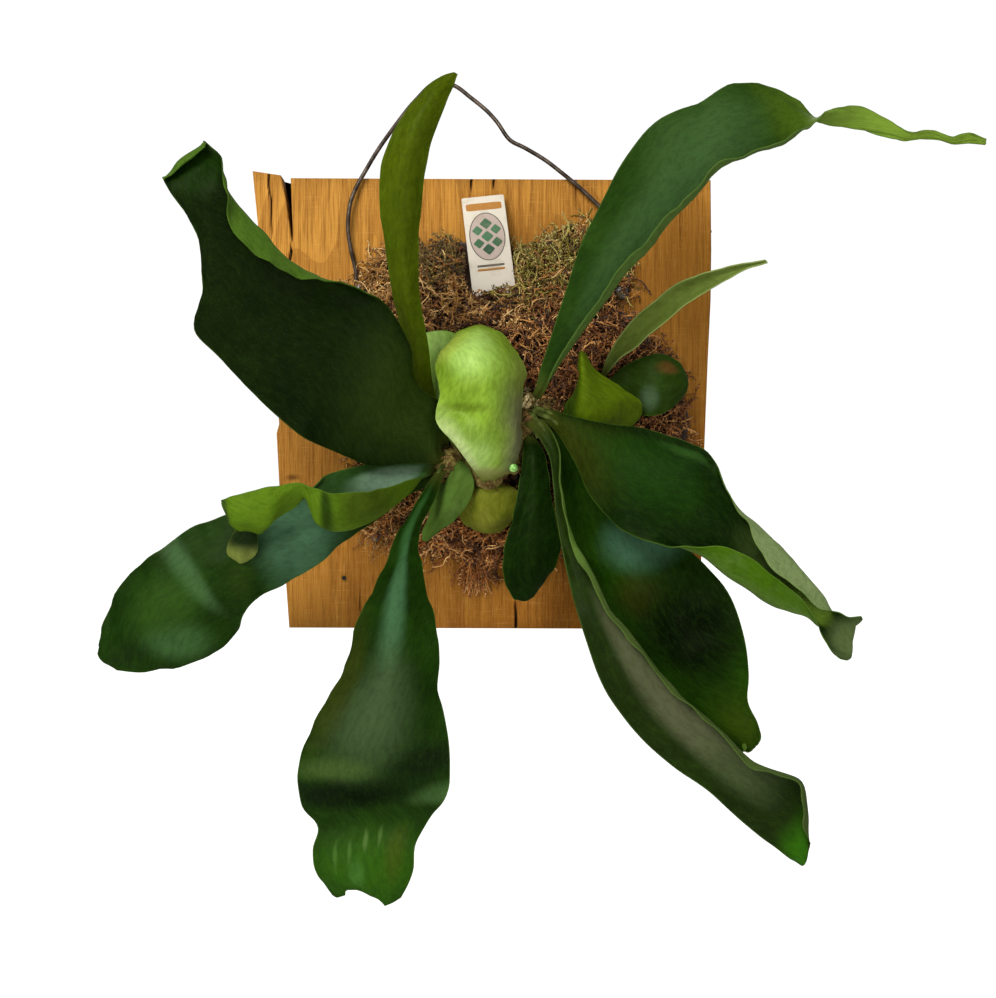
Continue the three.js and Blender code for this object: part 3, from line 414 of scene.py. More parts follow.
FRONDS = {
    "frond_upper_left": (FERTILE, 2 / 3, "frond_dark", [
        [[450, 456, 42], [449, 458, 43], [447, 461, 43], [446, 464, 42]],
        [[441, 450, 54], [439, 452, 55], [436, 458, 56], [432, 464, 54]],
        [[440, 405, 60], [437, 415, 61], [427, 438, 64], [413, 463, 60]],
        [[417, 385, 76], [413, 392, 78], [397, 424, 80], [374, 465, 72]],
        [[409, 345, 92], [402, 354, 95], [372, 397, 97], [338, 453, 88]],
        [[385, 303, 109], [379, 311, 109], [338, 370, 111], [303, 437, 104]],
        [[347, 285, 129], [342, 288, 121], [304, 345, 122], [271, 411, 116]],
        [[303, 277, 143], [312, 273, 134], [274, 318, 132], [240, 380, 126]],
        [[272, 266, 154], [284, 256, 144], [250, 292, 141], [215, 353, 134]],
        [[247, 248, 161], [262, 232, 151], [230, 268, 147], [194, 330, 140]],
        [[232, 228, 165], [243, 211, 156], [219, 245, 151], [203, 288, 146]],
        [[226, 200, 168], [229, 193, 159], [210, 222, 154], [198, 240, 150]],
        [[224, 174, 166], [223, 180, 160], [200, 195, 156], [180, 205, 152]],
        [[221, 156, 157], [215, 161, 156], [192, 173, 153], [167, 187, 151]],
        [[206, 143, 154], [200, 148, 153], [184, 160, 150], [163, 179, 148]],
        [[208, 146, 161], [202, 151, 160], [186, 163, 157], [165, 181, 154]],
    ]),
    "frond_top_strap": (STRAP, 0.5, "frond_light", [
        [[450, 453, 41], [446, 453, 42], [443, 453, 41]],
        [[446, 425, 48], [439, 425, 49], [432, 425, 48]],
        [[434, 388, 54], [425, 388, 56], [416, 388, 54]],
        [[428, 345, 72], [416, 345, 76], [404, 345, 72]],
        [[420, 298, 90], [407, 298, 95], [393, 298, 90]],
        [[419, 250, 106], [402, 250, 112], [386, 250, 106]],
        [[422, 202, 120], [401, 202, 127], [380, 202, 120]],
        [[425, 172, 127], [403, 170, 134], [381, 166, 127]],
        [[431, 143, 132], [411, 140, 139], [390, 137, 132]],
        [[440, 118, 134], [422, 114, 140], [404, 112, 134]],
        [[447, 100, 134], [435, 95, 138], [423, 90, 134]],
        [[453, 87, 132], [447, 82, 134], [441, 77, 132]],
        [[457.5, 74, 130], [456, 73, 130], [454, 72, 130]],
    ]),
    "frond_upper_right": (FERTILE, 2 / 3, "frond_dark", [
        [[537, 403, 43], [535, 401, 44], [532, 399, 44], [529, 398, 43]],
        [[544, 393, 56], [542, 392, 55], [539, 390, 56], [535, 389, 55]],
        [[551, 374, 69], [552, 376, 64], [546, 372, 63], [540, 370, 63]],
        [[566, 347, 84], [570, 348, 77], [561, 340, 76], [552, 333, 77]],
        [[587, 316, 98], [593, 317, 91], [579, 303, 89], [566, 290, 90]],
        [[612, 281, 112], [619, 283, 104], [599, 264, 103], [580, 246, 104]],
        [[641, 245, 124], [648, 248, 116], [623, 227, 115], [600, 205, 116]],
        [[677, 206, 135], [682, 209, 127], [654, 188, 126], [622, 163, 126]],
        [[715, 168, 141], [717, 172, 134], [687, 151, 132], [655, 122, 131]],
        [[748, 151, 143], [748, 153, 137], [722, 124, 134], [697, 103, 133]],
        [[778, 143, 143], [777, 146, 137], [756, 114, 132], [733, 84, 130]],
        [[797, 131, 141], [796, 133, 135], [784, 112, 129], [770, 85, 126]],
        [[807, 127, 138], [806, 127, 133], [801, 117, 127], [794, 101, 122]],
        [[815, 123, 134], [814, 122, 131], [813, 121, 125], [812, 119, 119]],
        [[834, 109, 128], [835, 112, 126], [836, 118, 121], [838, 126, 116]],
        [[860, 106, 121], [861, 112, 120], [862, 120, 118], [864, 131, 115]],
        [[885, 118, 117], [886, 123, 116], [887, 130, 115], [888, 138, 113]],
        [[908, 131, 115], [908, 133, 114], [909, 137, 112], [910, 140, 109]],
        [[932, 130, 112], [932, 133, 111], [932, 136, 109], [932, 140, 107]],
        [[951, 136, 110], [951, 138, 109], [951, 140, 107], [951, 142, 105]],
        [[968, 133, 105], [968, 136, 105], [968, 139, 104], [968, 143, 103]],
        [[987, 139, 101], [987, 141, 101], [987, 142, 101], [987, 144, 101]],
    ]),
    "frond_right_strap": (STRAP, 0.5, "frond_mid", [
        [[604, 379, 34], [602, 378, 33], [600, 377, 34]],
        [[618, 361, 51], [614, 357, 47], [609, 353, 51]],
        [[641, 343, 65], [633, 334, 60], [625, 328, 65]],
        [[669, 319, 79], [660, 309, 74], [652, 303, 79]],
        [[697, 297, 91], [690, 289, 86], [681, 282, 91]],
        [[722, 283, 100], [716, 277, 96], [709, 271, 100]],
        [[745, 271, 107], [742, 268, 104], [737, 264, 107]],
        [[768, 263, 112], [767, 261, 111], [765, 259, 112]],
    ]),
    "frond_right_round": (STRAP, 0.5, "frond_dark", [
        [[603, 392, 32], [603, 389, 33], [603, 386, 32]],
        [[622, 404, 38], [624, 386, 41], [622, 368, 38]],
        [[645, 416, 44], [645, 386, 48], [642, 358, 44]],
        [[664, 413, 46], [664, 385, 51], [662, 354, 46]],
        [[679, 402, 44], [679, 384, 48], [677, 361, 44]],
        [[686, 391, 42], [687, 384, 43], [686, 376, 42]],
    ]),
    "frond_right": (CURLED, 0.5, "frond_dark", [
        [[533, 419, 43], [535, 417, 44], [537, 414, 45], [539, 411, 44], [541, 409, 43]],
        [[545, 422, 58], [547, 420, 60], [549, 416, 61], [551, 412, 60], [553, 410, 58]],
        [[557, 433, 68], [559, 428, 70], [562, 423, 71], [564, 418, 70], [565, 414, 68]],
        [[575, 463, 82], [582, 452, 85], [593, 440, 88], [601, 430, 86], [606, 424, 82]],
        [[592, 499, 96], [602, 483, 99], [622, 458, 103], [638, 439, 100], [648, 429, 95]],
        [[618, 527, 106], [627, 510, 109], [651, 478, 113], [672, 453, 110], [683, 441, 105]],
        [[652, 543, 116], [657, 531, 113], [679, 496, 119], [699, 463, 115], [708, 452, 113]],
        [[690, 546, 126], [688, 548, 117], [705, 512, 121], [717, 483, 117], [722, 477, 121]],
        [[708, 546, 128], [706, 558, 118], [724, 530, 117], [738, 509, 115], [738, 511, 122]],
        [[735, 551, 131], [727, 576, 116], [742, 552, 114], [757, 526, 116], [748, 524, 127]],
        [[757, 561, 131], [750, 590, 115], [760, 570, 111], [775, 543, 115], [757, 548, 128]],
        [[772, 575, 128], [772, 605, 112], [778, 588, 108], [794, 562, 112], [771, 567, 128]],
        [[791, 590, 124], [793, 613, 110], [798, 598, 105], [812, 583, 110], [790, 582, 124]],
        [[807, 609, 119], [808, 619, 109], [813, 610, 103], [825, 599, 107], [809, 600, 119]],
        [[817, 622, 115], [817, 626, 108], [822, 618, 102], [831, 609, 105], [824, 609, 114]],
        [[822, 632, 109], [825, 629, 105], [830, 624, 102], [836, 617, 104], [840, 612, 109]],
        [[830, 650, 104], [836, 644, 101], [842, 636, 100], [847, 626, 102], [850, 617, 106]],
        [[845, 663, 100], [852, 656, 98], [857, 644, 98], [860, 630, 100], [862, 616, 104]],
    ]),
    "frond_lower_right_wide": (FERTILE, 0.5, "frond_dark", [
        [[533, 432, 36], [536, 429, 37], [540, 426, 36]],
        [[548, 436, 54], [553, 431, 54], [560, 426, 54]],
        [[556, 470, 62], [572, 462, 58], [590, 455, 60]],
        [[560, 510, 72], [590, 500, 64], [625, 495, 68]],
        [[570, 555, 82], [612, 545, 72], [665, 530, 78]],
        [[590, 600, 92], [640, 590, 82], [700, 560, 86]],
        [[615, 642, 100], [662, 632, 90], [728, 592, 94]],
        [[645, 680, 108], [688, 668, 98], [743, 632, 100]],
        [[678, 708, 114], [712, 700, 104], [749, 672, 104]],
        [[708, 730, 118], [730, 724, 108], [748, 702, 106]],
        [[728, 740, 118], [744, 736, 110], [757, 722, 108]],
        [[738, 745, 116], [748, 748, 111], [761, 737, 109]],
        [[744, 748, 114], [751, 751, 112], [757, 745, 110]],
    ]),
    "frond_lower_right_long": (FERTILE, 1 / 3, "frond_mid", [
        [[522, 423, 45], [524, 420, 46], [527, 417, 46], [529, 414, 45]],
        [[535, 433, 62], [539, 430, 63], [543, 427, 63], [547, 424, 63]],
        [[549, 457, 73], [553, 454, 73], [557, 451, 75], [559, 450, 80]],
        [[553, 485, 84], [556, 485, 84], [561, 484, 88], [560, 486, 93]],
        [[556, 515, 94], [561, 515, 94], [566, 513, 99], [564, 515, 105]],
        [[562, 550, 104], [569, 548, 104], [577, 546, 110], [574, 549, 117]],
        [[571, 590, 114], [583, 587, 114], [596, 584, 120], [593, 587, 127]],
        [[584, 635, 122], [602, 630, 122], [620, 622, 129], [618, 625, 136]],
        [[604, 688, 130], [628, 676, 128], [653, 664, 136], [651, 666, 143]],
        [[635, 732, 134], [661, 714, 132], [687, 701, 142], [685, 703, 149]],
        [[672, 766, 136], [696, 748, 134], [720, 732, 146], [718, 734, 153]],
        [[708, 791, 136], [729, 776, 134], [750, 759, 147], [748, 762, 154]],
        [[735, 816, 132], [757, 800, 132], [778, 771, 145], [776, 774, 152]],
        [[762, 838, 126], [782, 822, 126], [801, 783, 139], [799, 786, 146]],
        [[786, 855, 120], [797, 846, 122], [808, 815, 131], [804, 819, 138]],
        [[801, 867, 115], [805, 864, 117], [809, 850, 121], [810, 844, 125]],
    ]),
    "frond_lower_middle": (STRAP, 0.5, "frond_dark", [
        [[523, 432, 42], [527, 431, 43], [531, 432, 42]],
        [[523, 455, 54], [534, 455, 57], [545, 455, 54]],
        [[518, 490, 58], [535, 490, 63], [551, 490, 58]],
        [[511, 522, 60], [533, 522, 66], [556, 520, 60]],
        [[503, 556, 58], [531, 553, 66], [562, 547, 59]],
        [[504, 580, 55], [529, 580, 61], [550, 574, 56]],
        [[515, 598, 51], [524, 601, 53], [533, 597, 51]],
    ]),
    "frond_bottom": (FERTILE, 0.5, "frond_dark", [
        [[440, 467, 43], [444, 467, 44], [448, 467, 43]],
        [[431, 479, 62], [436, 480, 64], [442, 481, 62]],
        [[420, 496, 74], [427, 498, 76], [435, 500, 74]],
        [[405, 522, 88], [413, 524, 92], [421, 526, 88]],
        [[389, 555, 106], [405, 555, 114], [419, 553, 106]],
        [[371, 592, 122], [400, 592, 132], [427, 588, 122]],
        [[354, 632, 134], [396, 630, 147], [435, 622, 136]],
        [[343, 672, 144], [391, 670, 158], [440, 658, 146]],
        [[325, 703, 152], [384, 705, 166], [438, 690, 152]],
        [[306, 740, 158], [377, 740, 172], [446, 722, 160]],
        [[298, 775, 158], [374, 775, 166], [450, 758, 164]],
        [[302, 806, 150], [372, 804, 150], [447, 795, 160]],
        [[318, 828, 148], [370, 826, 150], [430, 818, 156]],
        [[313, 850, 152], [368, 850, 156], [416, 843, 158]],
        [[318, 878, 154], [367, 876, 158], [413, 872, 158]],
        [[335, 898, 150], [369, 894, 154], [400, 900, 154]],
    ]),
    "frond_left_curled": (CURLED, 0.5, "frond_mid", [
        [[441, 459, 41], [440, 462, 42], [439, 465, 42], [438, 468, 41], [437, 471, 40]],
        [[429, 458, 47], [428, 463, 47], [427, 470, 48], [426, 475, 50], [425, 478, 53]],
        [[413, 459, 50], [413, 469, 50], [413, 488, 56], [412, 487, 66], [413, 479, 72]],
        [[386, 460, 62], [386, 474, 62], [386, 511, 72], [386, 506, 86], [386, 488, 94]],
        [[354, 467, 76], [356, 480, 77], [360, 526, 89], [358, 514, 103], [355, 492, 109]],
        [[328, 474, 89], [331, 486, 90], [334, 530, 103], [333, 516, 114], [330, 493, 117]],
        [[316, 483, 97], [316, 490, 97], [317, 522, 106], [316, 510, 113], [316, 488, 118]],
        [[303, 499, 101], [303, 498, 104], [303, 496, 109], [303, 490, 114], [303, 483, 117]],
        [[284, 512, 99], [284, 508, 104], [285, 501, 111], [285, 493, 116], [286, 485, 118]],
        [[262, 532, 104], [263, 530, 109], [266, 524, 117], [267, 508, 120], [268, 487, 118]],
        [[250, 534, 108], [250, 530, 113], [250, 522, 120], [250, 508, 123], [250, 491, 120]],
        [[236, 530, 110], [235, 527, 115], [234, 520, 120], [233, 509, 122], [232, 496, 119]],
        [[229, 522, 110], [228, 519, 113], [226, 514, 116], [223, 507, 117], [220, 500, 115]],
    ]),
    "frond_left_low": (FERTILE, 0.5, "frond_dark", [
        [[450, 470, 35], [448, 474, 36], [446, 478, 35]],
        [[432, 472, 38], [430, 479, 40], [428, 486, 38]],
        [[413, 473, 43], [410, 484, 46], [407, 496, 43]],
        [[375, 480, 58], [378, 498, 63], [382, 516, 58]],
        [[335, 492, 70], [342, 515, 77], [350, 538, 70]],
        [[295, 500, 79], [304, 533, 88], [312, 568, 79]],
        [[255, 508, 86], [270, 545, 95], [282, 586, 86]],
        [[221, 517, 90], [240, 560, 99], [252, 602, 90]],
        [[190, 528, 93], [215, 578, 101], [243, 615, 91]],
        [[160, 550, 92], [195, 598, 100], [238, 632, 88]],
        [[130, 573, 88], [165, 618, 98], [215, 652, 86]],
        [[110, 605, 84], [136, 632, 94], [180, 667, 84]],
        [[101, 637, 82], [115, 650, 88], [140, 671, 82]],
        [[97, 652, 80], [103, 662, 82], [117, 670, 80]],
    ]),
    "frond_small_left": (STRAP, 0.5, "frond_mid", [
        [[455, 460, 44], [459, 459, 45], [463, 460, 44]],
        [[449, 475, 50], [459, 472, 55], [470, 470, 52]],
        [[434, 495, 54], [452, 492, 61], [474, 490, 56]],
        [[428, 515, 56], [442, 513, 63], [460, 514, 57]],
        [[424, 530, 55], [431, 532, 59], [442, 530, 55]],
        [[422, 540, 54], [425, 541, 55], [429, 540, 54]],
    ]),
    "shield_main": (SHIELD, 0.5, "shield_green", [
        [[495, 480, 54], [492, 481, 55], [489, 482, 56], [486, 482, 56], [483, 482, 55]],
        [[512, 468, 58], [504, 468, 65], [493, 468, 70], [481, 468, 72], [470, 465, 70]],
        [[520, 447, 56], [512, 447, 66], [492, 448, 74], [470, 448, 78], [455, 444, 76]],
        [[521, 428, 55], [514, 428, 66], [490, 430, 76], [462, 430, 78], [437, 424, 79]],
        [[521, 408, 55], [514, 408, 67], [490, 410, 79], [460, 410, 72], [436, 410, 72]],
        [[523, 390, 55], [514, 390, 68], [486, 391, 83], [460, 392, 79], [440, 391, 70]],
        [[526, 373, 54], [514, 370, 69], [482, 370, 85], [455, 370, 80], [435, 371, 64]],
        [[518, 354, 52], [506, 350, 66], [479, 349, 81], [455, 351, 75], [437, 357, 60]],
        [[503, 335, 50], [494, 333, 58], [479, 332, 63], [464, 335, 61], [449, 343, 56]],
        [[492, 328, 49], [486, 327, 51], [479, 326, 53], [470, 328, 52], [460, 332, 50]],
    ]),
    "shield_old": (SHIELD, 0.5, "shield_olive", [
        [[480, 484, 44], [490, 484, 46], [500, 484, 44]],
        [[463, 492, 46], [490, 490, 53], [517, 490, 46]],
        [[456, 505, 45], [488, 505, 54], [520, 505, 45]],
        [[461, 520, 42], [488, 520, 49], [515, 520, 42]],
        [[474, 531, 36], [487, 533, 39], [500, 531, 36]],
    ]),
    "shield_back": (SHIELD, 0.5, "shield_grey", [
        [[467, 458, 40], [463, 457, 41], [459, 456, 40]],
        [[470, 415, 41], [452, 415, 43], [434, 415, 41]],
        [[472, 385, 42], [447, 383, 47], [422, 380, 42]],
        [[471, 355, 41], [446, 352, 47], [421, 351, 41]],
        [[466, 336, 39], [446, 330, 44], [426, 333, 39]],
    ]),
    "shield_pup": (SHIELD, 0.5, "frond_light", [
        [[604, 436, 36], [597, 434, 40], [590, 435, 37]],
        [[628, 428, 42], [586, 430, 58], [564, 422, 44]],
        [[642, 414, 46], [583, 420, 65], [562, 412, 48]],
        [[641, 402, 52], [584, 404, 70], [568, 400, 54]],
        [[622, 388, 58], [584, 388, 74], [575, 391, 60]],
        [[599, 372, 66], [583, 371, 76], [579, 374, 67]],
        [[584, 353, 73], [581.5, 351, 75], [579, 353, 73]],
    ]),
}


# --- How each frond looks. u runs from foot to tip and v from edge to edge, both 0 to 1. A patch
# is [u, v, reach along, reach across, colour, strength]: some patches are the blade's own tints,
# and many paint highlights, sheen, reflections and shade where the blade catches light or lies in
# shade. A ruffle is (height, wavelength), and a notch (v, depth) at the tip, in millimetres.

PLAIN = {
    "upper": "#122a02", "upper_light": "#214206", "under": "#3f5c14", "under_light": "#5a7430",
    "vein": "#2a4810", "veining": 0.06, "rim": 0.5, "rim_and_highlight_colour": "#4c6a24", "foot": "#3c4418",
    "foot_reach": 0.12, "shine": 0.07, "rough": 0.46, "scurf": 0.04, "patches": [],
    "under_tints_and_painted_light": [], "ruffle": (1.2, 26), "swell": 0.7, "notches": [], "face": 0,
}

LOOKS = {
    "frond_upper_left": {
        "upper": "#081502", "upper_light": "#142404", "under": "#3c5818", "under_light": "#4c6c24",
        "rim_and_highlight_colour": "#3c5818", "shine": 0.05, "vein": "#24380c", "patches": [
            [0.18, 0.5, 0.2, 0.7, "#283a10", 0.9], [0.62, 0.12, 0.14, 0.16, "#182a06", 0.8],
            # the patches at 0.86 and 1.0 lighten the curled tip, which faces away from the lamps:
            # painted light
            [0.86, 0.5, 0.1, 0.7, "#0e2602", 0.8], [1.0, 0.5, 0.09, 0.9, "#1e4408", 0.8],
        ],
    },
    "frond_top_strap": {
        "upper": "#3a4a00", "upper_light": "#4a5a04", "vein": "#5c6e1c", "scurf": 0.04,
        "foot_reach": 0.05, "ruffle": (0.6, 30), "rough": 0.5,
    },
    "frond_upper_right": {
        "upper": "#183206", "upper_light": "#2c4812", "under": "#3e5624", "under_light": "#4e6630",
        "rim_and_highlight_colour": "#48642c", "patches": [
            [0.88, 0.5, 0.44, 2.4, "#6e8c30", 1.0], [0.3, 0.5, 0.2, 0.36, "#385630", 0.6],
            [0.42, 0.7, 0.12, 0.4, "#38562e", 0.6], [0.54, 0.5, 0.08, 0.8, "#3c540e", 0.7],
        ],
        "under_tints_and_painted_light": [[0.88, 0.5, 0.44, 2.4, "#6e8c30", 1.0]],
    },
    "frond_right_strap": {
        "upper": "#526226", "upper_light": "#6c8040", "rim_and_highlight_colour": "#8c9c60", "ruffle": (0.4, 25),
    },
    "frond_right_round": {
        "upper": "#1e3206", "upper_light": "#304818", "ruffle": (0.5, 16), "patches": [
            [0.45, 0.3, 0.14, 0.3, "#4a6048", 0.7], [0.66, 0.78, 0.18, 0.16, "#5a3c1c", 0.8],
        ],
    },
    "frond_right": {
        "under": "#667c4c", "under_light": "#869a68", "ruffle": (1.0, 34), "upper": "#081a02",
        "upper_light": "#122c02", "notches": [
            (0, 4), (0.08, 0), (0.2, -0.5), (0.5, 3), (0.8, 3), (0.93, -1.5), (1, 0.5),
        ],
        "swell": 0.5, "rough": 0.52, "shine": 0.05, "patches": [
            # the streak at 0.32 is a painted highlight, and the patches at 0.57 and 0.76 are
            # painted light in the trough, which lies in shade
            [0.14, 0.3, 0.16, 0.8, "#2c3408", 0.8], [0.32, 0.82, 0.075, 0.1, "#28481a", 0.9],
            [0.57, 0.6, 0.1, 0.3, "#34461e", 0.9], [0.76, 0.5, 0.16, 0.6, "#64842c", 1.0],
            [0.97, 0.5, 0.12, 0.8, "#4c5c36", 1.0], [0.27, 0.56, 0.17, 0.36, "#123604", 0.6],
        ],
        "under_tints_and_painted_light": [[0.6, 0.0, 0.6, 0.45, "#3e600c", 1.0]],
    },
    "frond_lower_right_wide": {
        "ruffle": (1.6, 34), "shine": 0.03, "scurf": 0.02, "patches": [
            # the teal patch at 0.345 is a painted reflection, and the near-black one at 0.53
            # painted shade
            [0.345, 0.74, 0.07, 0.5, "#406650", 0.9], [0.43, 0.45, 0.06, 0.3, "#2e300c", 0.7],
            [0.53, 0.66, 0.17, 0.66, "#020a00", 1.0], [0.82, 0.6, 0.2, 0.6, "#33460a", 0.7],
        ],
    },
    "frond_lower_right_long": {
        "upper": "#101f02", "upper_light": "#1e3206", "under": "#3c4e20",
        "under_light": "#4c6030", "rim_and_highlight_colour": "#465c28", "ruffle": (1.2, 34), "patches": [
            # the grey-green patches at 0.52, 0.64 and 0.74 are a painted sheen
            [0.64, 0.46, 0.17, 0.28, "#4c503a", 1.0], [0.52, 0.5, 0.14, 0.2, "#4a4e38", 0.9],
            [0.74, 0.42, 0.12, 0.3, "#3a462a", 0.8],
            [0.96, 0.3, 0.1, 0.5, "#2a6004", 0.85],
        ],
        "under_tints_and_painted_light": [[0.28, 0.95, 0.2, 0.5, "#5c7a34", 0.9]],
    },
    "frond_lower_middle": {
        "upper": "#091a02", "upper_light": "#122c02", "ruffle": (1.6, 20), "shine": 0.04,
    },
    "frond_bottom": {
        "upper": "#0d2402", "upper_light": "#1a3804", "ruffle": (1.5, 32), "rough": 0.52,
        "patches": [
            # the patches at 0.2, 0.34, 0.55, 0.655 and 0.73 are painted highlight and sheen, the
            # near-black ones at 0.66 and 0.71 painted shade where the blade turns down, and the
            # one at 0.92 paints the tip lit through from behind
            [0.34, 0.46, 0.2, 0.22, "#3c6242", 0.85], [0.2, 0.4, 0.14, 0.26, "#2a5226", 0.7],
            [0.55, 0.44, 0.17, 0.46, "#384a2e", 0.85], [0.5, 0.08, 0.18, 0.2, "#2a3206", 0.8],
            [0.655, 0.24, 0.035, 0.36, "#3c5224", 0.8], [0.71, 0.3, 0.05, 0.7, "#041202", 0.95],
            [0.66, 0.86, 0.045, 0.4, "#041202", 0.9], [0.73, 0.97, 0.035, 0.3, "#38542c", 0.7],
            [0.92, 0.5, 0.16, 0.9, "#285008", 0.85], [0.88, 0.78, 0.1, 0.16, "#34440a", 0.7],
            [0.84, 0.47, 0.045, 0.035, "#5c7c40", 0.45], [0.87, 0.33, 0.045, 0.03, "#4c6c34", 0.4],
            [0.83, 0.6, 0.04, 0.03, "#5c7c40", 0.4], [0.88, 0.2, 0.06, 0.03, "#4c7030", 0.4],
            [0.93, 0.4, 0.06, 0.12, "#3a6428", 0.6],
        ],
        "notches": [
            (0.0, 2), (0.03, 0), (0.17, 1), (0.21, 4.5), (0.34, 3.5), (0.52, -1.5), (0.66, -3),
            (0.8, -6.5), (0.92, -2), (1.0, 2),
        ],
    },
    "frond_left_curled": {
        "upper": "#27451a", "upper_light": "#3c5c34", "under": "#44640a", "under_light": "#5a781a",
        # the teal upper patch is a painted sheen, and the dark under patch at 0.445 painted shade
        # on a fold
        "ruffle": (1.2, 22), "face": 1, "patches": [[0.24, 0.3, 0.16, 0.22, "#7c9c84", 0.9]],
        "under_tints_and_painted_light": [
            [0.445, 0.8, 0.05, 0.5, "#182a04", 0.9], [0.3, 0.9, 0.13, 0.5, "#3a480e", 0.8],
            [0.99, 0.8, 0.05, 1.2, "#283c1a", 0.8],
        ],
    },
    "frond_left_flap": {
        "upper": "#707e38", "upper_light": "#94a060", "ruffle": (0.2, 12), "swell": 0.2,
        # the dark patch paints the shade inside the curl, above the flap's lighter tip
        "foot_reach": 0.04, "patches": [[0.3, 0.6, 0.46, 1.8, "#12200a", 1.0]],
    },
    "frond_left_low": {
        "upper": "#0d2402", "upper_light": "#1c3a06", "ruffle": (1.6, 30),
        "notches": [(0, 4), (0.04, 6), (0.09, 0), (1, 0)],
        "patches": [
            # the teal and pale patches at 0.4, 0.67 and 0.8 are a painted sheen
            [0.4, 0.5, 0.13, 0.9, "#446a50", 0.9], [0.67, 0.3, 0.04, 0.6, "#446440", 0.7],
            [0.8, 0.75, 0.09, 0.3, "#3c6034", 0.7], [0.56, 0.7, 0.06, 0.3, "#22340a", 0.7],
            [0.75, 0.4, 0.14, 0.4, "#2a4a14", 0.6],
        ],
    },
    "frond_small_left": {
        "upper": "#466224", "upper_light": "#5a743a", "ruffle": (0.8, 18), "shine": 0.06,
        "rough": 0.6,
    },
    "shield_main": {
        "upper": "#6c8c1e", "upper_light": "#86ac36", "vein": "#a0c058", "rim_and_highlight_colour": "#9cb664",
        "under": "#8aa04c", "under_light": "#a0b46c", "foot": "#6c7434", "rough": 0.38,
        "shine": 0.2, "veining": 0.05, "ruffle": (0.45, 15), "swell": 0.4,
        "patches": [
            # the pale patch at 0.76 is a painted highlight on the dome, the grey one at 0.32 on
            # the right flank is dry tissue with painted shade, and the olive one at 0.46 paints
            # shade in the dent
            [0.76, 0.6, 0.2, 0.34, "#acd474", 0.6], [0.32, 0.1, 0.54, 0.46, "#6c6e50", 1.0],
            [0.84, 0.92, 0.16, 0.36, "#a2ba4c", 0.8], [0.2, 0.7, 0.22, 0.34, "#8cac60", 0.7],
            [0.62, 0.12, 0.16, 0.3, "#7a8a34", 0.6], [0.46, 0.74, 0.05, 0.36, "#526808", 0.7],
            [0.3, 0.6, 0.1, 0.5, "#60801a", 0.6], [0.2, 0.95, 0.3, 0.28, "#b0c288", 0.8],
            [0.06, 0.6, 0.09, 0.7, "#8c8a58", 0.8],
        ],
    },
    "shield_old": {
        "upper": "#5c6414", "upper_light": "#787a32", "vein": "#8c8a44", "foot": "#5a4c20",
        "rim_and_highlight_colour": "#7c6c34", "ruffle": (1.2, 14), "rough": 0.6,
    },
    "shield_back": {
        "upper": "#84ac48", "upper_light": "#a4c878", "vein": "#b0cc84", "ruffle": (0.8, 18),
    },
    "shield_pup": {
        "upper": "#465a04", "upper_light": "#5a720c", "vein": "#647e1c", "ruffle": (0.6, 16),
        # the dark patch paints the shade on the left face of the ridge
        "patches": [[0.4, 0.86, 0.7, 0.36, "#22380a", 0.9]],
    },
}


# --- Blades of the fronds

RIM_PLACES = (0.0, 0.003, 0.009, 0.02, 0.036)
END_PLACES = (0.002, 0.006, 0.994, 0.998)
SPAN_POINTS = 6
ACROSS_POINTS = 26
NOTCHES_FROM = 0.9
RUFFLE_LAYERS = (1.0, 0.61, 1.7)
FOOT_FADE = 9
SWELL_SEED = 50


def rows_along(station_count):
    """Places from foot to tip, close together at both ends."""
    inner = np.linspace(0, 1, SPAN_POINTS * (station_count - 1) + 1)
    return np.sort(np.concatenate([inner, END_PLACES]))


def rows_across():
    """Places from edge to edge, close together at both edges."""
    inner = np.linspace(0.06, 0.94, ACROSS_POINTS)
    edge = np.array(RIM_PLACES)
    return np.concatenate([edge, inner, (1 - edge)[::-1]])


def loft(stations, us, vs):
    """The smooth surface through the stations, at places along and across it."""
    rails = curve_at(from_plan(stations), us)
    return curve_at(rails.swapaxes(0, 1), vs).swapaxes(0, 1)


def directions(grid):
    """The ways along the blade and out of its upper face."""
    forward = unit(np.gradient(grid, axis=0))
    return forward, unit(np.cross(forward, unit(np.gradient(grid, axis=1))))


def lengths(grid, axis):
    """How far each point lies along its row or column, in millimetres."""
    steps = np.linalg.norm(np.diff(grid, axis=axis), axis=2)
    start = np.zeros_like(np.take(steps, [0], axis=axis))
    return np.concatenate([start, np.cumsum(steps, axis=axis)], axis=axis)


def cut_notches(grid, forward, u, v, notches):
    """The tip's outline dips and juts by the depth that the notches give across it."""
    places, depths = zip(*notches)
    depth = np.interp(v, places, depths)
    share = smooth_step(u, NOTCHES_FROM, 1.0) ** 1.5
    return grid - forward * (depth * share)[..., None]


def ruffle(grid, normal, u, v, height, wavelength, seed):
    """Waves that grow from the middle of the blade to its edges, and fade out at its foot."""
    along = lengths(grid, 0)
    source = np.random.default_rng(seed)
    wave = np.zeros_like(u)
    for stretch in RUFFLE_LAYERS:
        turn = source.random() + np.where(v > 0.5, source.random(), 0)
        wave += np.sin(2 * math.pi * (along / (wavelength * stretch) + turn)) * stretch**0.5
    near_edge = np.abs(2 * v - 1) ** 3
    rise = height * 0.5 * wave * near_edge * smooth_step(u, 0.12, 0.35)
    return grid + normal * rise[..., None]


def swell(grid, normal, u, height, seed):
    """The low unevenness of a grown surface."""
    rise = height * wobble(grid, 34, seed) + 0.35 * height * wobble(grid, 13, seed + 1)
    return grid + normal * (rise * smooth_step(u, 0.05, 0.25))[..., None]


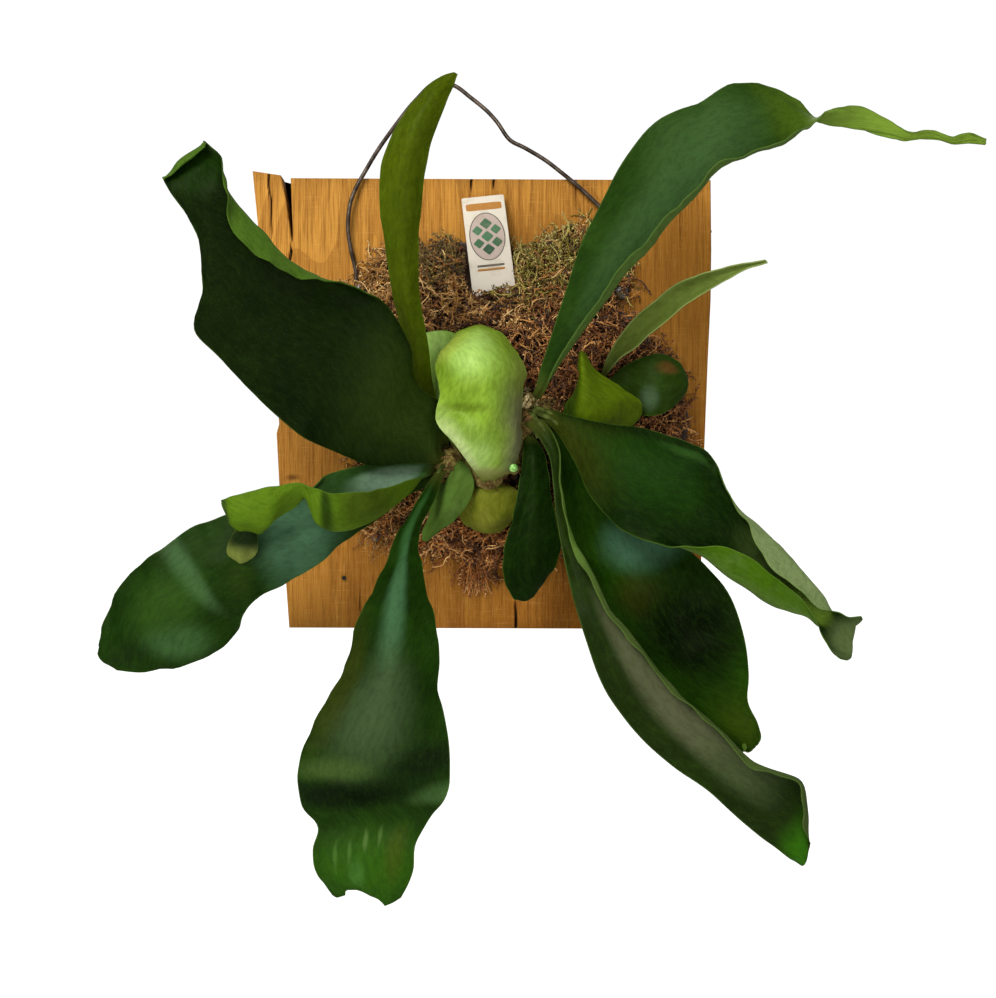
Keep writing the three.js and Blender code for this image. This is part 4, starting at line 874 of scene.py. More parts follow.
def half_thickness(kind, rib_at, u, v, inward):
    """Half the blade's thickness at each point, rounded off to nothing at the rim."""
    rib = (kind["rib"] - kind["edge"]) * np.exp(-(((v - rib_at) / RIB_SPREAD) ** 2))
    half = (kind["edge"] + rib + kind["foot"] * np.exp(-FOOT_FADE * u)) / 2
    rounding = 1 - np.clip(inward / half, 0, 1)
    return half * np.sqrt(np.maximum(1 - rounding**2, 0))


def split_corners(quads, rows, columns):
    """Cuts the four corner cells from the corner inwards, so that no cut joins rim to rim."""
    cells = columns - 1
    turns = {0: 0, cells - 1: 1, (rows - 2) * cells: 1, (rows - 1) * cells - 1: 0}
    for cell, turn in turns.items():
        a, b, c, d = quads[cell][turn:] + quads[cell][:turn]
        quads[cell] = (a, b, c)
        quads.append((a, c, d))
    return quads


def shell_faces(rows, columns):
    """Both faces of a blade, which share the points of its rim."""
    size = rows * columns
    under = np.arange(size) + size
    index = np.arange(size).reshape(rows, columns)
    rim = np.ones((rows, columns), bool)
    rim[1:-1, 1:-1] = False
    under[rim.ravel()] = index[rim]
    cells = split_corners(grid_faces(rows, columns), rows, columns)
    upper_faces = [cell[:1] + cell[:0:-1] for cell in cells]
    under_faces = [tuple(int(under[k]) for k in reversed(face)) for face in upper_faces]
    return upper_faces + under_faces, rim


def grown_surface(stations, look, u, v, seed):
    """The blade's middle surface with its notches, ruffles and unevenness."""
    grid = loft(stations, u[:, 0], v[0])
    forward, normal = directions(grid)
    if look["notches"]:
        grid = cut_notches(grid, forward, u, v, look["notches"])
    grid = ruffle(grid, normal, u, v, *look["ruffle"], seed)
    return swell(grid, normal, u, look["swell"], seed + SWELL_SEED)


def make_blade(seed, name, kind, rib_at, stations):
    look = {**PLAIN, **LOOKS[name]}
    u, v = np.meshgrid(rows_along(len(stations)), rows_across(), indexing="ij")
    grid = grown_surface(stations, look, u, v, seed)
    _, normal = directions(grid)
    along, across = lengths(grid, 0), lengths(grid, 1)
    to_side = np.minimum(across, across[:, -1:] - across)
    inward = np.minimum(to_side, np.minimum(along, along[-1:] - along))
    half = half_thickness(kind, rib_at, u, v, inward)[..., None]
    faces, rim = shell_faces(*u.shape)
    points = np.concatenate([grid + normal * half, grid - normal * half]).reshape(-1, 3)
    # the face that the eye sees is the upper one, unless the look says otherwise
    seen = look["face"] or -np.sign(np.mean(normal[..., 1]))
    side = np.where(rim, 0.5, (1 + seen) / 2)
    leaf = np.stack([u, v, side], axis=-1)
    back = np.stack([u, v, 1 - side], axis=-1)
    flat = np.stack([along, across, inward], axis=-1)
    piece = add_mesh(name + "_blade", points, faces, [leaf_material(name + "_leaf", look)])
    give_values(piece, "leaf", np.concatenate([leaf, back]).reshape(-1, 3))
    give_values(piece, "flat", np.concatenate([flat, flat]).reshape(-1, 3))
    remove_loose_points(piece)
    return piece


def remove_loose_points(piece):
    """Removes the underside's rim points, whose place the upper face's rim takes."""
    tidy = bmesh.new()
    tidy.from_mesh(piece.data)
    loose = [point for point in tidy.verts if not point.link_faces]
    bmesh.ops.delete(tidy, geom=loose, context="VERTS")
    tidy.to_mesh(piece.data)
    tidy.free()


# a small flap that hangs under the curled frond on the left
FLAP = [
    [[238, 524, 106], [241, 524, 108], [245, 524, 109], [249, 524, 109], [253, 525, 108]],
    [[233, 534, 106], [238, 535, 109], [244, 535, 111], [251, 535, 110], [257, 534, 107]],
    [[228, 545, 103], [234, 546, 107], [242, 547, 109], [250, 547, 108], [258, 548, 104]],
    [[228, 554, 100], [234, 556, 103], [241, 557, 104], [249, 556, 103], [256, 555, 101]],
    [[233, 560, 97], [237, 562, 98], [241, 563, 99], [246, 562, 98], [251, 559, 97]],
]


def make_fronds():
    for seed, (name, (kind, rib_at, slot, stations)) in enumerate(FRONDS.items()):
        stand_for(make_blade(seed, name, kind, rib_at, stations), slot, name)
    flap = make_blade(len(FRONDS), "frond_left_flap", FERTILE, 0.5, FLAP)
    stand_for(flap, "frond_mid")


# --- Board: its front face is cut into a fine grid and gets grain, saw marks and checks as relief

BOARD_OUTLINE = [
    (-146, -159), (145, -160), (148.5, -33), (151, 31), (153, 73), (153.5, 109), (153, 158.5),
    (-145, 160), (-143.4, 122), (-143.6, 111), (-148, 143), (-152, 162), (-172, 165),
    (-168, 124), (-153, -14), (-155, -21), (-152.5, -68),
]
BOARD_COLUMNS = np.arange(-171, 153, 1.7)
BOARD_ROWS = np.arange(-158, 164, 7.0)
BOARD_MERGE = 0.05
BOARD_WEAR = 0.7
CHECK_MARGIN = 0.6
CHECK_COLUMNS = 8
MEAN_RELIEF = 0.3
CHECK_FLOOR = 6.0
# x at the top, x at the bottom, z at the top, z at the bottom, half width, depth
CHECKS = [
    (-16.3, -16.8, 160, 149, 0.7, 3), (-0.4, -1.0, 160, 150, 0.6, 3),
    (14.9, 14.4, -139, -161, 0.7, 4), (-144, -146.5, 112, 84, 0.6, 4),
    (-160.5, -157.5, 163, 118, 0.5, 3), (58, 57, 160, 136, 0.35, 1.5),
    (118, 120, -110, -161, 0.4, 2), (-96, -95, -128, -160, 0.4, 2),
    (131, 132, 158, 100, 0.3, 1.2), (-60, -61, 160, 141, 0.35, 1.5),
]
# the dark corner is darker wood at the top right, and also paints the shadow that the upper right
# frond casts beside the moss
# middle and half sizes
DARK_CORNER_AND_SHADOW = (138, -19, 92), (66, 60, 90)
KNOT = (-143.5, -19, -52.5), (7, 30, 3.2)
# height, depth
SAW_LINES = [(116, 0.2), (-122, 0.24), (-30, 0.12), (62, 0.12), (-84, 0.12)]
SAW_LINE_WIDTH = 1.6
SAW_LINE_SLOPE = 0.01


def near_check(x, z):
    """How deep each point lies in the nearest check, in millimetres."""
    depth = np.zeros_like(x)
    for x_top, x_end, top, end, half_width, deep in CHECKS:
        share = (z - end) / (top - end)
        middle = x_end + (x_top - x_end) * share + 0.5 * np.sin(z / 4.3) * (share < 1)
        mouth = top if abs(top) > abs(end) else end
        fade = 1 - np.abs(z - mouth) / abs(top - end)
        inside = (share >= 0) & (share <= 1)
        across = np.clip(1 - np.abs(x - middle) / (half_width * 1.6), 0, 1)
        depth = np.maximum(depth, deep * across * np.sqrt(np.clip(fade, 0, 1)) * inside)
    return depth


def board_relief(x, z):
    """How far the sawn face lies behind the board's front, in millimetres."""
    spot = np.stack([x, np.zeros_like(x), z / 24], axis=-1)
    grain = 0.16 * wobble(spot, 5, seed=3) + 0.12 * wobble(spot, 2.6, seed=4)
    level = np.stack([x / 30, np.zeros_like(x), z], axis=-1)
    saw = 0.08 * wobble(level, 9, seed=5)
    for height, deep in SAW_LINES:
        off = (z - height - x * SAW_LINE_SLOPE) / SAW_LINE_WIDTH
        saw += deep * np.exp(-(off**2))
    return MEAN_RELIEF + grain + saw + near_check(x, z)


def cut_grid(mesh, places, axis):
    """Cuts the face square to the axis at each place along it."""
    for place in places:
        geometry = mesh.verts[:] + mesh.edges[:] + mesh.faces[:]
        point = [place if k == axis else 0 for k in range(3)]
        normal = [float(k == axis) for k in range(3)]
        bmesh.ops.bisect_plane(mesh, geom=geometry, plane_co=point, plane_no=normal)


def outward_ways(edges):
    """For each point of a flat outline, the way that leads out of it."""
    ways = {}
    for edge in edges:
        face = edge.link_faces[0]
        along = edge.verts[1].co - edge.verts[0].co
        way = along.cross(face.normal).normalized()
        if way.dot(face.calc_center_median() - edge.verts[0].co) > 0:
            way.negate()
        for point in edge.verts:
            ways[point] = ways.get(point, Vector()) + way
    return {point: way.normalized() for point, way in ways.items()}


def extrude_wall(mesh, edges, ways, shift, depth):
    """Carries the outline to another depth. Gives the new edges and the new points' ways."""
    made = bmesh.ops.extrude_edge_only(mesh, edges=edges)["geom"]
    new_edges = [item for item in made if isinstance(item, bmesh.types.BMEdge)]
    new_points = [item for item in made if isinstance(item, bmesh.types.BMVert)]
    old_ways = {tuple(point.co): way for point, way in ways.items()}
    new_ways = {}
    for point in new_points:
        way = old_ways[tuple(point.co)]
        new_ways[point] = way
        point.co = Vector((point.co.x, depth, point.co.z)) + way * shift
    rim = [edge for edge in new_edges if all(v in new_ways for v in edge.verts)]
    return rim, new_ways


def cut_face(mesh):
    """Cuts the face into a grid, with closer columns along each check."""
    columns = list(BOARD_COLUMNS)
    for x_top, x_end, _, _, half_width, _ in CHECKS:
        left = min(x_top, x_end) - half_width - CHECK_MARGIN
        right = max(x_top, x_end) + half_width + CHECK_MARGIN
        columns += list(np.linspace(left, right, CHECK_COLUMNS))
    cut_grid(mesh, sorted(columns), 0)
    cut_grid(mesh, BOARD_ROWS, 2)
    bmesh.ops.remove_doubles(mesh, verts=mesh.verts[:], dist=BOARD_MERGE)


def board_mesh():
    """The board in millimetres: its worn face, a bevel, the sides, a bevel and the back."""
    front = -BOARD_THICKNESS
    mesh = bmesh.new()
    mesh.faces.new([mesh.verts.new((x, front, z)) for x, z in BOARD_OUTLINE])
    cut_face(mesh)
    outline = [edge for edge in mesh.edges if edge.is_boundary]
    ways = outward_ways(outline)
    for point in mesh.verts:
        if point in ways:
            point.co -= ways[point] * BOARD_WEAR
    flat = {point: point.co.copy() for point in mesh.verts}
    rim, ways = extrude_wall(mesh, outline, ways, BOARD_WEAR, front + BOARD_WEAR * 1.2)
    rim, ways = extrude_wall(mesh, rim, ways, 0, -BOARD_WEAR)
    rim, ways = extrude_wall(mesh, rim, ways, -BOARD_WEAR, 0)
    bmesh.ops.holes_fill(mesh, edges=rim, sides=0)
    xs = np.array([place.x for place in flat.values()])
    zs = np.array([place.z for place in flat.values()])
    for point, relief in zip(flat, board_relief(xs, zs)):
        point.co.y += relief
    bmesh.ops.recalc_face_normals(mesh, faces=mesh.faces[:])
    return mesh


def cedar_grain(shader, place):
    """Growth rings, coarse fibres, fine fibres and saw marks."""
    rings = shader.noise(shader.scaled(place, (0.012, 0.012, 0.0022)), 1.0, 1, 0.4, 0.8)
    ring = shader.ramp(shader.math("FRACT", shader.times(rings, 16.0)), 0.0, 0.85)
    fibres = shader.noise(shader.scaled(place, (1.4, 0.5, 0.03)), 1.0, 5, 0.65)
    fine = shader.noise(shader.scaled(place, (3.2, 1, 0.12)), 1.0, 4, 0.7)
    saw = shader.noise(shader.scaled(place, (0.05, 0.05, 1.3)), 1.0, 4, 0.6)
    return ring, fibres, fine, saw


def cedar_tone(shader, place, grain, check):
    """The wood's colour, darker towards the lower right, with its stains, a dark top right corner
    that also paints a frond's shadow, knot, sides, painted shade in the checks and worn ends.
    """
    ring, fibres, fine, saw = grain
    x, _, z = shader.parts(place)
    slant = shader.math("SUBTRACT", x, z)
    clouds = shader.noise(place, 0.012, 4)
    stains = shader.noise(shader.scaled(place, (0.03, 0.03, 0.012)), 1.0, 5)
    tone = shader.laid_over(
        "#c8903f", (slant, -300, 280, 1, "#88520a"), (clouds, 0.35, 0.65, 0.5, "#c48c3a"))
    tone = shader.mix(shader.times(ring, 0.34), tone, "#7c4812")
    tone = shader.laid_over(
        tone, (fibres, 0.42, 0.66, 0.62, "#6a3c12"), (fine, 0.5, 0.75, 0.5, "#d6a65c"),
        (saw, 0.55, 0.75, 0.45, "#cc9c54"), (stains, 0.56, 0.74, 0.45, "#5d360e"))
    # darker wood at the top right corner, with a painted shadow of the upper right frond beside
    # the moss
    corner = shader.spot(place, *DARK_CORNER_AND_SHADOW, 0.2)
    tone = shader.mix(shader.times(corner, 0.6), tone, "#5c3c06")
    knot = shader.spot(place, *KNOT, 0.1)
    tone = shader.mix(shader.times(knot, 0.8), tone, "#4a2a12")
    _, facing, _ = shader.parts(shader.node("NewGeometry").outputs["Normal"])
    side = shader.ramp(shader.math("ABSOLUTE", facing), 0.7, 0.3)
    tone = shader.mix(shader.times(side, 0.55), tone, "#6a4620")
    # painted shade inside the checks
    tone = shader.laid_over(tone, (check, 0.15, 1.6, 0.92, "#1f1208"))
    edge = shader.ramp(shader.math("ABSOLUTE", z), 150, 161, 0, 0.35)
    return shader.mix(shader.times(edge, stains), tone, "#4f3316")


def cedar_material():
    shader = Shader("rough_sawn_cedar", Specular_IOR_Level=0.12)
    _, check, _, _ = shader.values("wood")
    place = shader.place()
    grain = cedar_grain(shader, place)
    tone = cedar_tone(shader, place, grain, check)
    _, fibres, fine, saw = grain
    relief = shader.bump(fine, 0.5, 0.35)
    relief = shader.bump(fibres, 0.6, 0.6, relief)
    relief = shader.bump(saw, 0.5, 0.45, relief)
    rough = shader.ramp(fibres, 0.3, 0.7, 0.7, 0.9)
    return shader.finish_with(Base_Color=tone, Roughness=rough, Normal=relief)


def in_fixed_order(mesh):
    """The mesh's faces, each from its first point, in an order that is the same each run."""
    mesh.verts.index_update()
    faces = [[point.index for point in face.verts] for face in mesh.faces]
    starts = [face.index(min(face)) for face in faces]
    return sorted(face[start:] + face[:start] for face, start in zip(faces, starts))


def make_board():
    mesh = board_mesh()
    points = np.array([point.co for point in mesh.verts])
    faces = in_fixed_order(mesh)
    mesh.free()
    piece = add_mesh("board_sawn", points, faces, [cedar_material()], smooth=False)
    near_front = points[:, 1] < CHECK_FLOOR - BOARD_THICKNESS
    depth = near_check(points[:, 0], points[:, 2]) * near_front
    give_values(piece, "wood", np.repeat(depth[:, None], 3, axis=1))
    stand_for(piece, "cedar", "board")


# --- Moss: a lumpy bed, and loose strands with small leaves that lie over it in a tangle

MOSS_MIDDLE = (517, 405)
MOSS_HEIGHT = 36.0
MOSS_RIM = 3.0
MOSS_BUMP = 1.4
DOME_SHOULDER = 2.6
DOME_FALL = 0.6
MOSS_OUTLINE = [
    (376, 288), (378, 268), (392, 257), (425, 258), (458, 242), (512, 256), (548, 241),
    (588, 228), (605, 243), (609, 262), (605, 284), (608, 304), (625, 312), (643, 330),
    (664, 354), (684, 395), (688, 432), (672, 470), (640, 505), (600, 532), (560, 550),
    (523, 560), (480, 560), (430, 552), (396, 547), (386, 532), (368, 518), (362, 490),
    (356, 455), (350, 400), (350, 345), (360, 308),
]
# where loose strands reach on the board's face
STRAND_OUTLINE = [
    (350, 292), (366, 258), (395, 246), (428, 250), (455, 240), (512, 250), (548, 236),
    (588, 222), (616, 226), (630, 250), (630, 290), (640, 322), (662, 350), (688, 392),
    (692, 434), (676, 474), (642, 508), (602, 536), (560, 556), (523, 568), (480, 570),
    (430, 558), (392, 552), (368, 540), (358, 500), (350, 455), (344, 400), (344, 345),
]
MOSS_SEAT = BOARD_THICKNESS + 0.3
OUTLINE_STEPS = 360
BED_RINGS = 30
BED_SPOKES = 132
# how far the bed lies below the level that the strands follow
BED_DEPTH = 2.2

# the plant tag that stands in the moss
TAG_WIDTH = 30.0
TAG_LENGTH = 76.0
TAG_THICKNESS = 0.8
TAG_CORNER = 1.5
TAG_MIDDLE = (488.4, 245, 15.2)
TAG_TILT = math.radians(-6.5)
TAG_LEAN = math.radians(-17)
TAG_GAP = 2.0


def flat_outline(outline):
    """The smooth closed curve through plan points on the board's face, as x and z."""
    places = [from_plan((across, down, 0)) for across, down in outline]
    return closed_curve_at(places, np.arange(OUTLINE_STEPS) / OUTLINE_STEPS)[:, [0, 2]]


def radii_by_angle(outline):
    """The outline as seen from the middle of the moss: angles and how far it lies there."""
    away = flat_outline(outline) - from_plan((*MOSS_MIDDLE, 0))[[0, 2]]
    angles = np.arctan2(away[:, 1], away[:, 0])
    order = np.argsort(angles)
    return angles[order], np.linalg.norm(away, axis=1)[order]


MOSS_EDGE = radii_by_angle(MOSS_OUTLINE)
STRAND_EDGE = radii_by_angle(STRAND_OUTLINE)


def reach_of(x, z, edge):
    """0 in the middle of the moss and 1 on the given outline."""
    middle = from_plan((*MOSS_MIDDLE, 0))
    dx, dz = x - middle[0], z - middle[2]
    radius = np.interp(np.arctan2(dz, dx), *edge, period=2 * math.pi)
    return np.hypot(dx, dz) / radius


def moss_out(x, z):
    """How far the moss stands off the board's back plane at a place on it."""
    reach = np.clip(reach_of(x, z, MOSS_EDGE), 0, 1)
    fall = (1 - reach**DOME_SHOULDER) ** DOME_FALL
    dome = MOSS_RIM * (reach < 1) + (MOSS_HEIGHT - MOSS_RIM) * fall
    bumps = np.sin(x / 7) * np.cos(z / 6) + np.sin(x / 13 + z / 9)
    return MOSS_SEAT + dome + MOSS_BUMP * bumps * (1 - reach**4)


def behind_tag(x, z):
    """The most that the moss may stand off the board so as to stay behind the tag."""
    middle = from_plan(TAG_MIDDLE)
    beside = np.abs(x - middle[0]) - TAG_WIDTH * 0.7
    below = middle[2] - TAG_LENGTH * 0.42 - z
    room = TAG_MIDDLE[2] - TAG_GAP + (middle[2] - z) * math.tan(abs(TAG_LEAN))
    return room + 3 * np.maximum(0, np.maximum(beside, below))


def make_moss_bed():
    middle = from_plan((*MOSS_MIDDLE, 0))[[0, 2]]
    angles = np.arange(BED_SPOKES) * 2 * math.pi / BED_SPOKES
    radii = np.interp(angles, *MOSS_EDGE, period=2 * math.pi)
    shares = np.linspace(0.02, 1, BED_RINGS)
    rim = np.stack([np.cos(angles) * radii, np.sin(angles) * radii], axis=-1)
    flat = middle + shares[:, None, None] * rim
    x, z = flat[..., 0], flat[..., 1]
    spot = np.stack([x, np.zeros_like(x), z], axis=-1)
    lumps = 1.6 * wobble(spot, 14, seed=61) + 0.8 * wobble(spot, 6, seed=62)
    out = moss_out(x, z) - BED_DEPTH + lumps * (1 - shares[:, None] ** 6)
    out = np.minimum(out, BOARD_THICKNESS + behind_tag(x, z))
    out[-1] = MOSS_SEAT
    points = np.stack([x, -np.maximum(out, MOSS_SEAT), z], axis=-1).reshape(-1, 3)
    outward = [face[::-1] for face in capped_faces(BED_RINGS, BED_SPOKES)]
    # the bed paints the shade in the gaps between the strands, over the moss's own dark lower
    # layer
    bed = add_mesh("moss_bed", points, outward, [moss_material("moss_bed_and_gap_shade", "bed")])
    give_values(bed, "strand", np.full((len(points), 3), 0.5))
    stand_for(bed, "moss", "moss")


def scatter_roots(count, area):
    """Places inside a disc of area = (across, down, radius), on the moss."""
    across, down, radius = area
    middle = from_plan((across, down, 0))[[0, 2]]
    found = np.empty((0, 2))
    while len(found) < count:
        spots = middle + rng.uniform(-1, 1, (4 * count, 2)) * radius * STEP
        inside = np.linalg.norm(spots - middle, axis=1) < radius * STEP
        inside &= reach_of(spots[:, 0], spots[:, 1], STRAND_EDGE) < ROOT_REACH
        found = np.concatenate([found, spots[inside]])
    return found[:count]


TAG_CORNERS = [(458, 190), (507, 188), (514, 284), (468, 291)]
ROOT_REACH = 0.97
ROOF_CELL = 3
ROOF_POINTS = (260, 70)
ROOF_GAP = 1.5
BOARD_RIGHT = 150.0


def make_roof():
    """For each small square of the plan, how far out the lowest frond above it is."""
    size = PLAN_HEIGHT // ROOF_CELL + 1
    roof = np.full((size, size), np.inf)
    us, vs = [np.linspace(0, 1, count) for count in ROOF_POINTS]
    for *_, stations in FRONDS.values():
        across, down, out = to_plan(loft(stations, us, vs))
        cells = (down / ROOF_CELL).astype(int), (across / ROOF_CELL).astype(int)
        np.minimum.at(roof, cells, out)
    return roof


def is_clear(path, roof):
    """Whether a strand stays on the board, behind the fronds and off the tag."""
    across, down, out = to_plan(path)
    above = roof[(down / ROOF_CELL).astype(int), (across / ROOF_CELL).astype(int)]
    clear = np.all(out < above - ROOF_GAP, axis=1)
    inside = np.ones(across.shape, bool)
    for (ax, ay), (bx, by) in zip(TAG_CORNERS, TAG_CORNERS[1:] + TAG_CORNERS[:1]):
        inside &= (bx - ax) * (down - ay) - (by - ay) * (across - ax) > 0
    on_board = np.all(path[..., 0] < BOARD_RIGHT, axis=1)
    return clear & on_board & ~np.any(inside, axis=1)


STRAND_STEPS = 8
STRAND_STRIDE = (1.6, 3.2)
STRAND_RADIUS = (0.35, 0.95)
STRAND_CURL = 0.42
STRAND_TAPER = 0.15
STRAND_SEED = 71
STRAND_SEAT = 0.5
LEAF_LENGTH = 2.8
# root, left, right, tip, keel
LEAF_FACES = [(0, 1, 4), (1, 3, 4), (3, 2, 4), (2, 0, 4), (0, 2, 1), (1, 2, 3)]


def strand_paths(roots, stride, lift, fall):
    """Curly paths that wander over the moss at about their own height above it."""
    count = len(roots)
    out = moss_out(roots[:, 0], roots[:, 1]) + rng.uniform(-1.5, 1.0, count)
    point = np.stack([roots[:, 0], -out, roots[:, 1]], axis=-1)
    turn = rng.uniform(0, 2 * math.pi, count)
    way = np.stack([np.cos(turn), rng.uniform(-0.8, 0.1, count), np.sin(turn)], axis=-1)
    height = rng.uniform(0, 1, count) ** 1.5 * lift
    drift = rng.normal(0, STRAND_CURL, (count, 3)) - [0, 0, fall]
    path = [point]
    for _ in range(STRAND_STEPS):
        level = -(moss_out(point[:, 0], point[:, 2]) + height)
        way = way + drift * 0.5 + rng.normal(0, STRAND_CURL, (count, 3)) * [1, 0.6, 1]
        way[:, 1] += np.clip((level - point[:, 1]) * 0.12, -0.5, 0.5)
        way = unit(way)
        point = point + way * stride[:, None]
        path.append(point)
    path = np.stack(path, axis=1)
    path[..., 1] = np.minimum(path[..., 1], -(BOARD_THICKNESS + STRAND_SEAT))
    return path


def across_ways(ways):
    """Two directions square to each way, turned at random from strand to strand."""
    reference = np.random.default_rng(STRAND_SEED).normal(size=ways[:, :1].shape)
    first = unit(np.cross(ways, np.broadcast_to(reference, ways.shape)))
    return first, np.cross(ways, first)


def strand_tubes(path, radius):
    """Three-sided closed tubes along paths (strand, step, 3)."""
    count, rows, _ = path.shape
    ways = unit(np.gradient(path, axis=1))
    first, second = across_ways(ways)
    taper = np.sqrt(np.linspace(1, STRAND_TAPER, rows))[None, :] * radius[:, None]
    corners = []
    for k in range(3):
        turn = 2 * math.pi * k / 3
        away = math.cos(turn) * first + math.sin(turn) * second
        corners.append(path + away * taper[..., None])
    points = np.stack(corners, axis=2).reshape(-1, 3)
    size = rows * 3
    *quads, foot, tip = capped_faces(rows, 3)
    faces = on_every_copy(quads, count, size) + on_every_copy([foot, tip], count, size)
    return points, faces, np.repeat(rng.uniform(0, 1, count), size)


def strand_leaves(path, per_step):
    """Small pointed leaves, each a closed flat wedge, that stand off the strands."""
    count, rows, _ = path.shape
    ways = unit(np.gradient(path, axis=1))
    roots = np.repeat(path[:, 1:].reshape(-1, 3), per_step, axis=0)
    along = np.repeat(ways[:, 1:].reshape(-1, 3), per_step, axis=0)
    strand = np.repeat(np.arange(count), (rows - 1) * per_step)
    roots = roots - along * rng.uniform(0, 2.0, (len(roots), 1))
    side = unit(np.cross(along, rng.normal(size=roots.shape)))
    up = np.cross(side, along)
    size = LEAF_LENGTH * rng.uniform(0.6, 1.3, (len(roots), 1))
    reach = unit(along * rng.uniform(0.3, 1.1, (len(roots), 1)) + side)
    width = np.cross(reach, up)
    tip = roots + reach * size
    belly = roots + reach * size * 0.4
    left, right = belly + width * size * 0.26, belly - width * size * 0.26
    keel = belly + up * size * 0.14
    points = np.stack([roots, left, right, tip, keel], axis=1).reshape(-1, 3)
    shade = np.repeat(rng.uniform(0, 1, count)[strand], 5)
    return points, on_every_copy(LEAF_FACES, len(roots), 5), shade


# piece: areas as (across, down, radius), strands, leaves a step, lift, palette and fall
MOSS_GROUPS = {
    "moss_strands_top": ([(430, 296, 60), (500, 310, 52), (565, 280, 50)], 640, 1, 7, "gold"),
    "moss_strands_green": ([(545, 260, 40), (590, 256, 44), (530, 275, 36)], 520, 1, 7, "green"),
    "moss_strands_fuzz": ([(452, 260, 24), (436, 272, 20)], 220, 2, 5, "olive"),
    "moss_strands_right": ([(600, 330, 70), (650, 400, 56), (560, 360, 50)], 660, 1, 6, "rust"),
    "moss_strands_low": ([(480, 540, 48), (420, 520, 50), (540, 540, 44)], 760, 1, 6, "low"),
    "moss_strands_left": ([(375, 285, 34), (375, 400, 52), (380, 500, 44)], 620, 1, 6, "gold"),
    "moss_strands_tuft": ([(474, 562, 9), (473, 566, 7)], 150, 1, 2, "low", 2.0),
    "moss_strands_rim": ([(517, 405, 190)], 900, 1, 3, "rust"),
    "moss_strands_deep": ([(517, 405, 170)], 1500, 1, 4, "brown"),
}

MOSS_PALETTES = {
    # the bed's near-black brown is the moss's own dark lower layer, and also paints the shade in
    # the gaps between the strands
    "bed": ("#120803", "#2a1608", "#3f2410"),
    "gold": ("#50280a", "#aa7a38", "#ecc888"),
    "green": ("#3c3206", "#847620", "#d4c878"),
    "olive": ("#34220a", "#644c18", "#9c8440"),
    "low": ("#6a3208", "#c07a34", "#f2c480"),
    "rust": ("#3a1c06", "#905620", "#d8a05c"),
    "brown": ("#200e02", "#4c280a", "#84501c"),
}


def moss_material(name, palette):
    dark, middle, light = MOSS_PALETTES[palette]
    shader = Shader(name, Specular_IOR_Level=0.2, Sheen_Weight=0.1, Sheen_Roughness=0.6)
    _, shade, _, _ = shader.values("strand")
    place = shader.place()
    patches = shader.noise(place, 0.06, 3)
    fleck = shader.noise(place, 1.1, 3)
    level = shader.math("ADD", shader.times(shade, 0.6), shader.times(patches, 0.55))
    tone = shader.laid_over(
        dark, (level, 0.1, 0.6, 1, middle), (level, 0.55, 0.95, 1, light),
        (fleck, 0.5, 0.75, 0.5, dark))
    relief = shader.bump(fleck, 0.5, 0.3)
    return shader.finish_with(Base_Color=tone, Roughness=0.85, Normal=relief)


def make_strands(name, roof, areas, count, per_step, lift, palette, fall=0.0):
    parts = []
    share = count // len(areas)
    for area in areas:
        roots = scatter_roots(share, area)
        path = strand_paths(roots, rng.uniform(*STRAND_STRIDE, share), lift, fall)
        path = path[is_clear(path, roof)]
        parts.append(strand_tubes(path, rng.uniform(*STRAND_RADIUS, len(path))))
        parts.append(strand_leaves(path, per_step))
    points, faces = joined([part[:2] for part in parts])
    shade = np.concatenate([part[2] for part in parts])
    piece = add_mesh(name, points, faces, [moss_material(name + "_look", palette)])
    give_values(piece, "strand", np.repeat(shade[:, None], 3, axis=1))
    stand_for(piece, "moss")


def make_moss():
    make_moss_bed()
    roof = make_roof()
    for name, settings in MOSS_GROUPS.items():
        make_strands(name, roof, *settings)


# --- Rhizome: a knuckled stem under papery scales

RHIZOME_RADIUS = 6.5
RHIZOME_VOXEL = 1.3
RHIZOME_RINGS = 60
RHIZOME_SIDES = 16
RHIZOME_ROUTE = [
    (448, 462, 41), (467, 471, 42), (489, 476, 46), (508, 461, 42), (521, 440, 41),
    (527, 421, 41), (544, 405, 36), (563, 408, 32), (584, 415, 31), (599, 390, 31),
]
# across, down, out, radius in millimetres
RHIZOME_KNUCKLES = [
    (448, 462, 41, 10), (489, 477, 49, 9), (527, 421, 41, 9.5), (584, 415, 31, 8.5),
    (599, 388, 31, 8), (597, 427, 33, 7.5), (515, 468, 47, 4.5), (525, 402, 44, 7),
]
# across, down, out, radius, scales, length, palette
SCALE_PATCHES = [
    (448, 462, 41, 10.5, 90, 5.0, "brown"), (489, 477, 49, 9.5, 60, 5.0, "brown"),
    (527, 421, 41, 10, 90, 5.5, "brown"), (584, 415, 31, 9, 70, 5.0, "brown"),
    (599, 388, 31, 8.5, 60, 5.0, "brown"), (597, 427, 33, 8, 50, 5.0, "brown"),
    (525, 401, 45, 7.6, 130, 4.4, "cream"),
]
# root, left, tip, right, crest, keel
SCALE_FACES = [
    (1, 0, 4), (2, 1, 4), (3, 2, 4), (0, 3, 4), (0, 1, 5), (1, 2, 5), (2, 3, 5), (3, 0, 5),
]
SCALE_COLOURS = {"brown": ("#4a3418", "#8a6c3c"), "cream": ("#a08a58", "#dccfa4")}


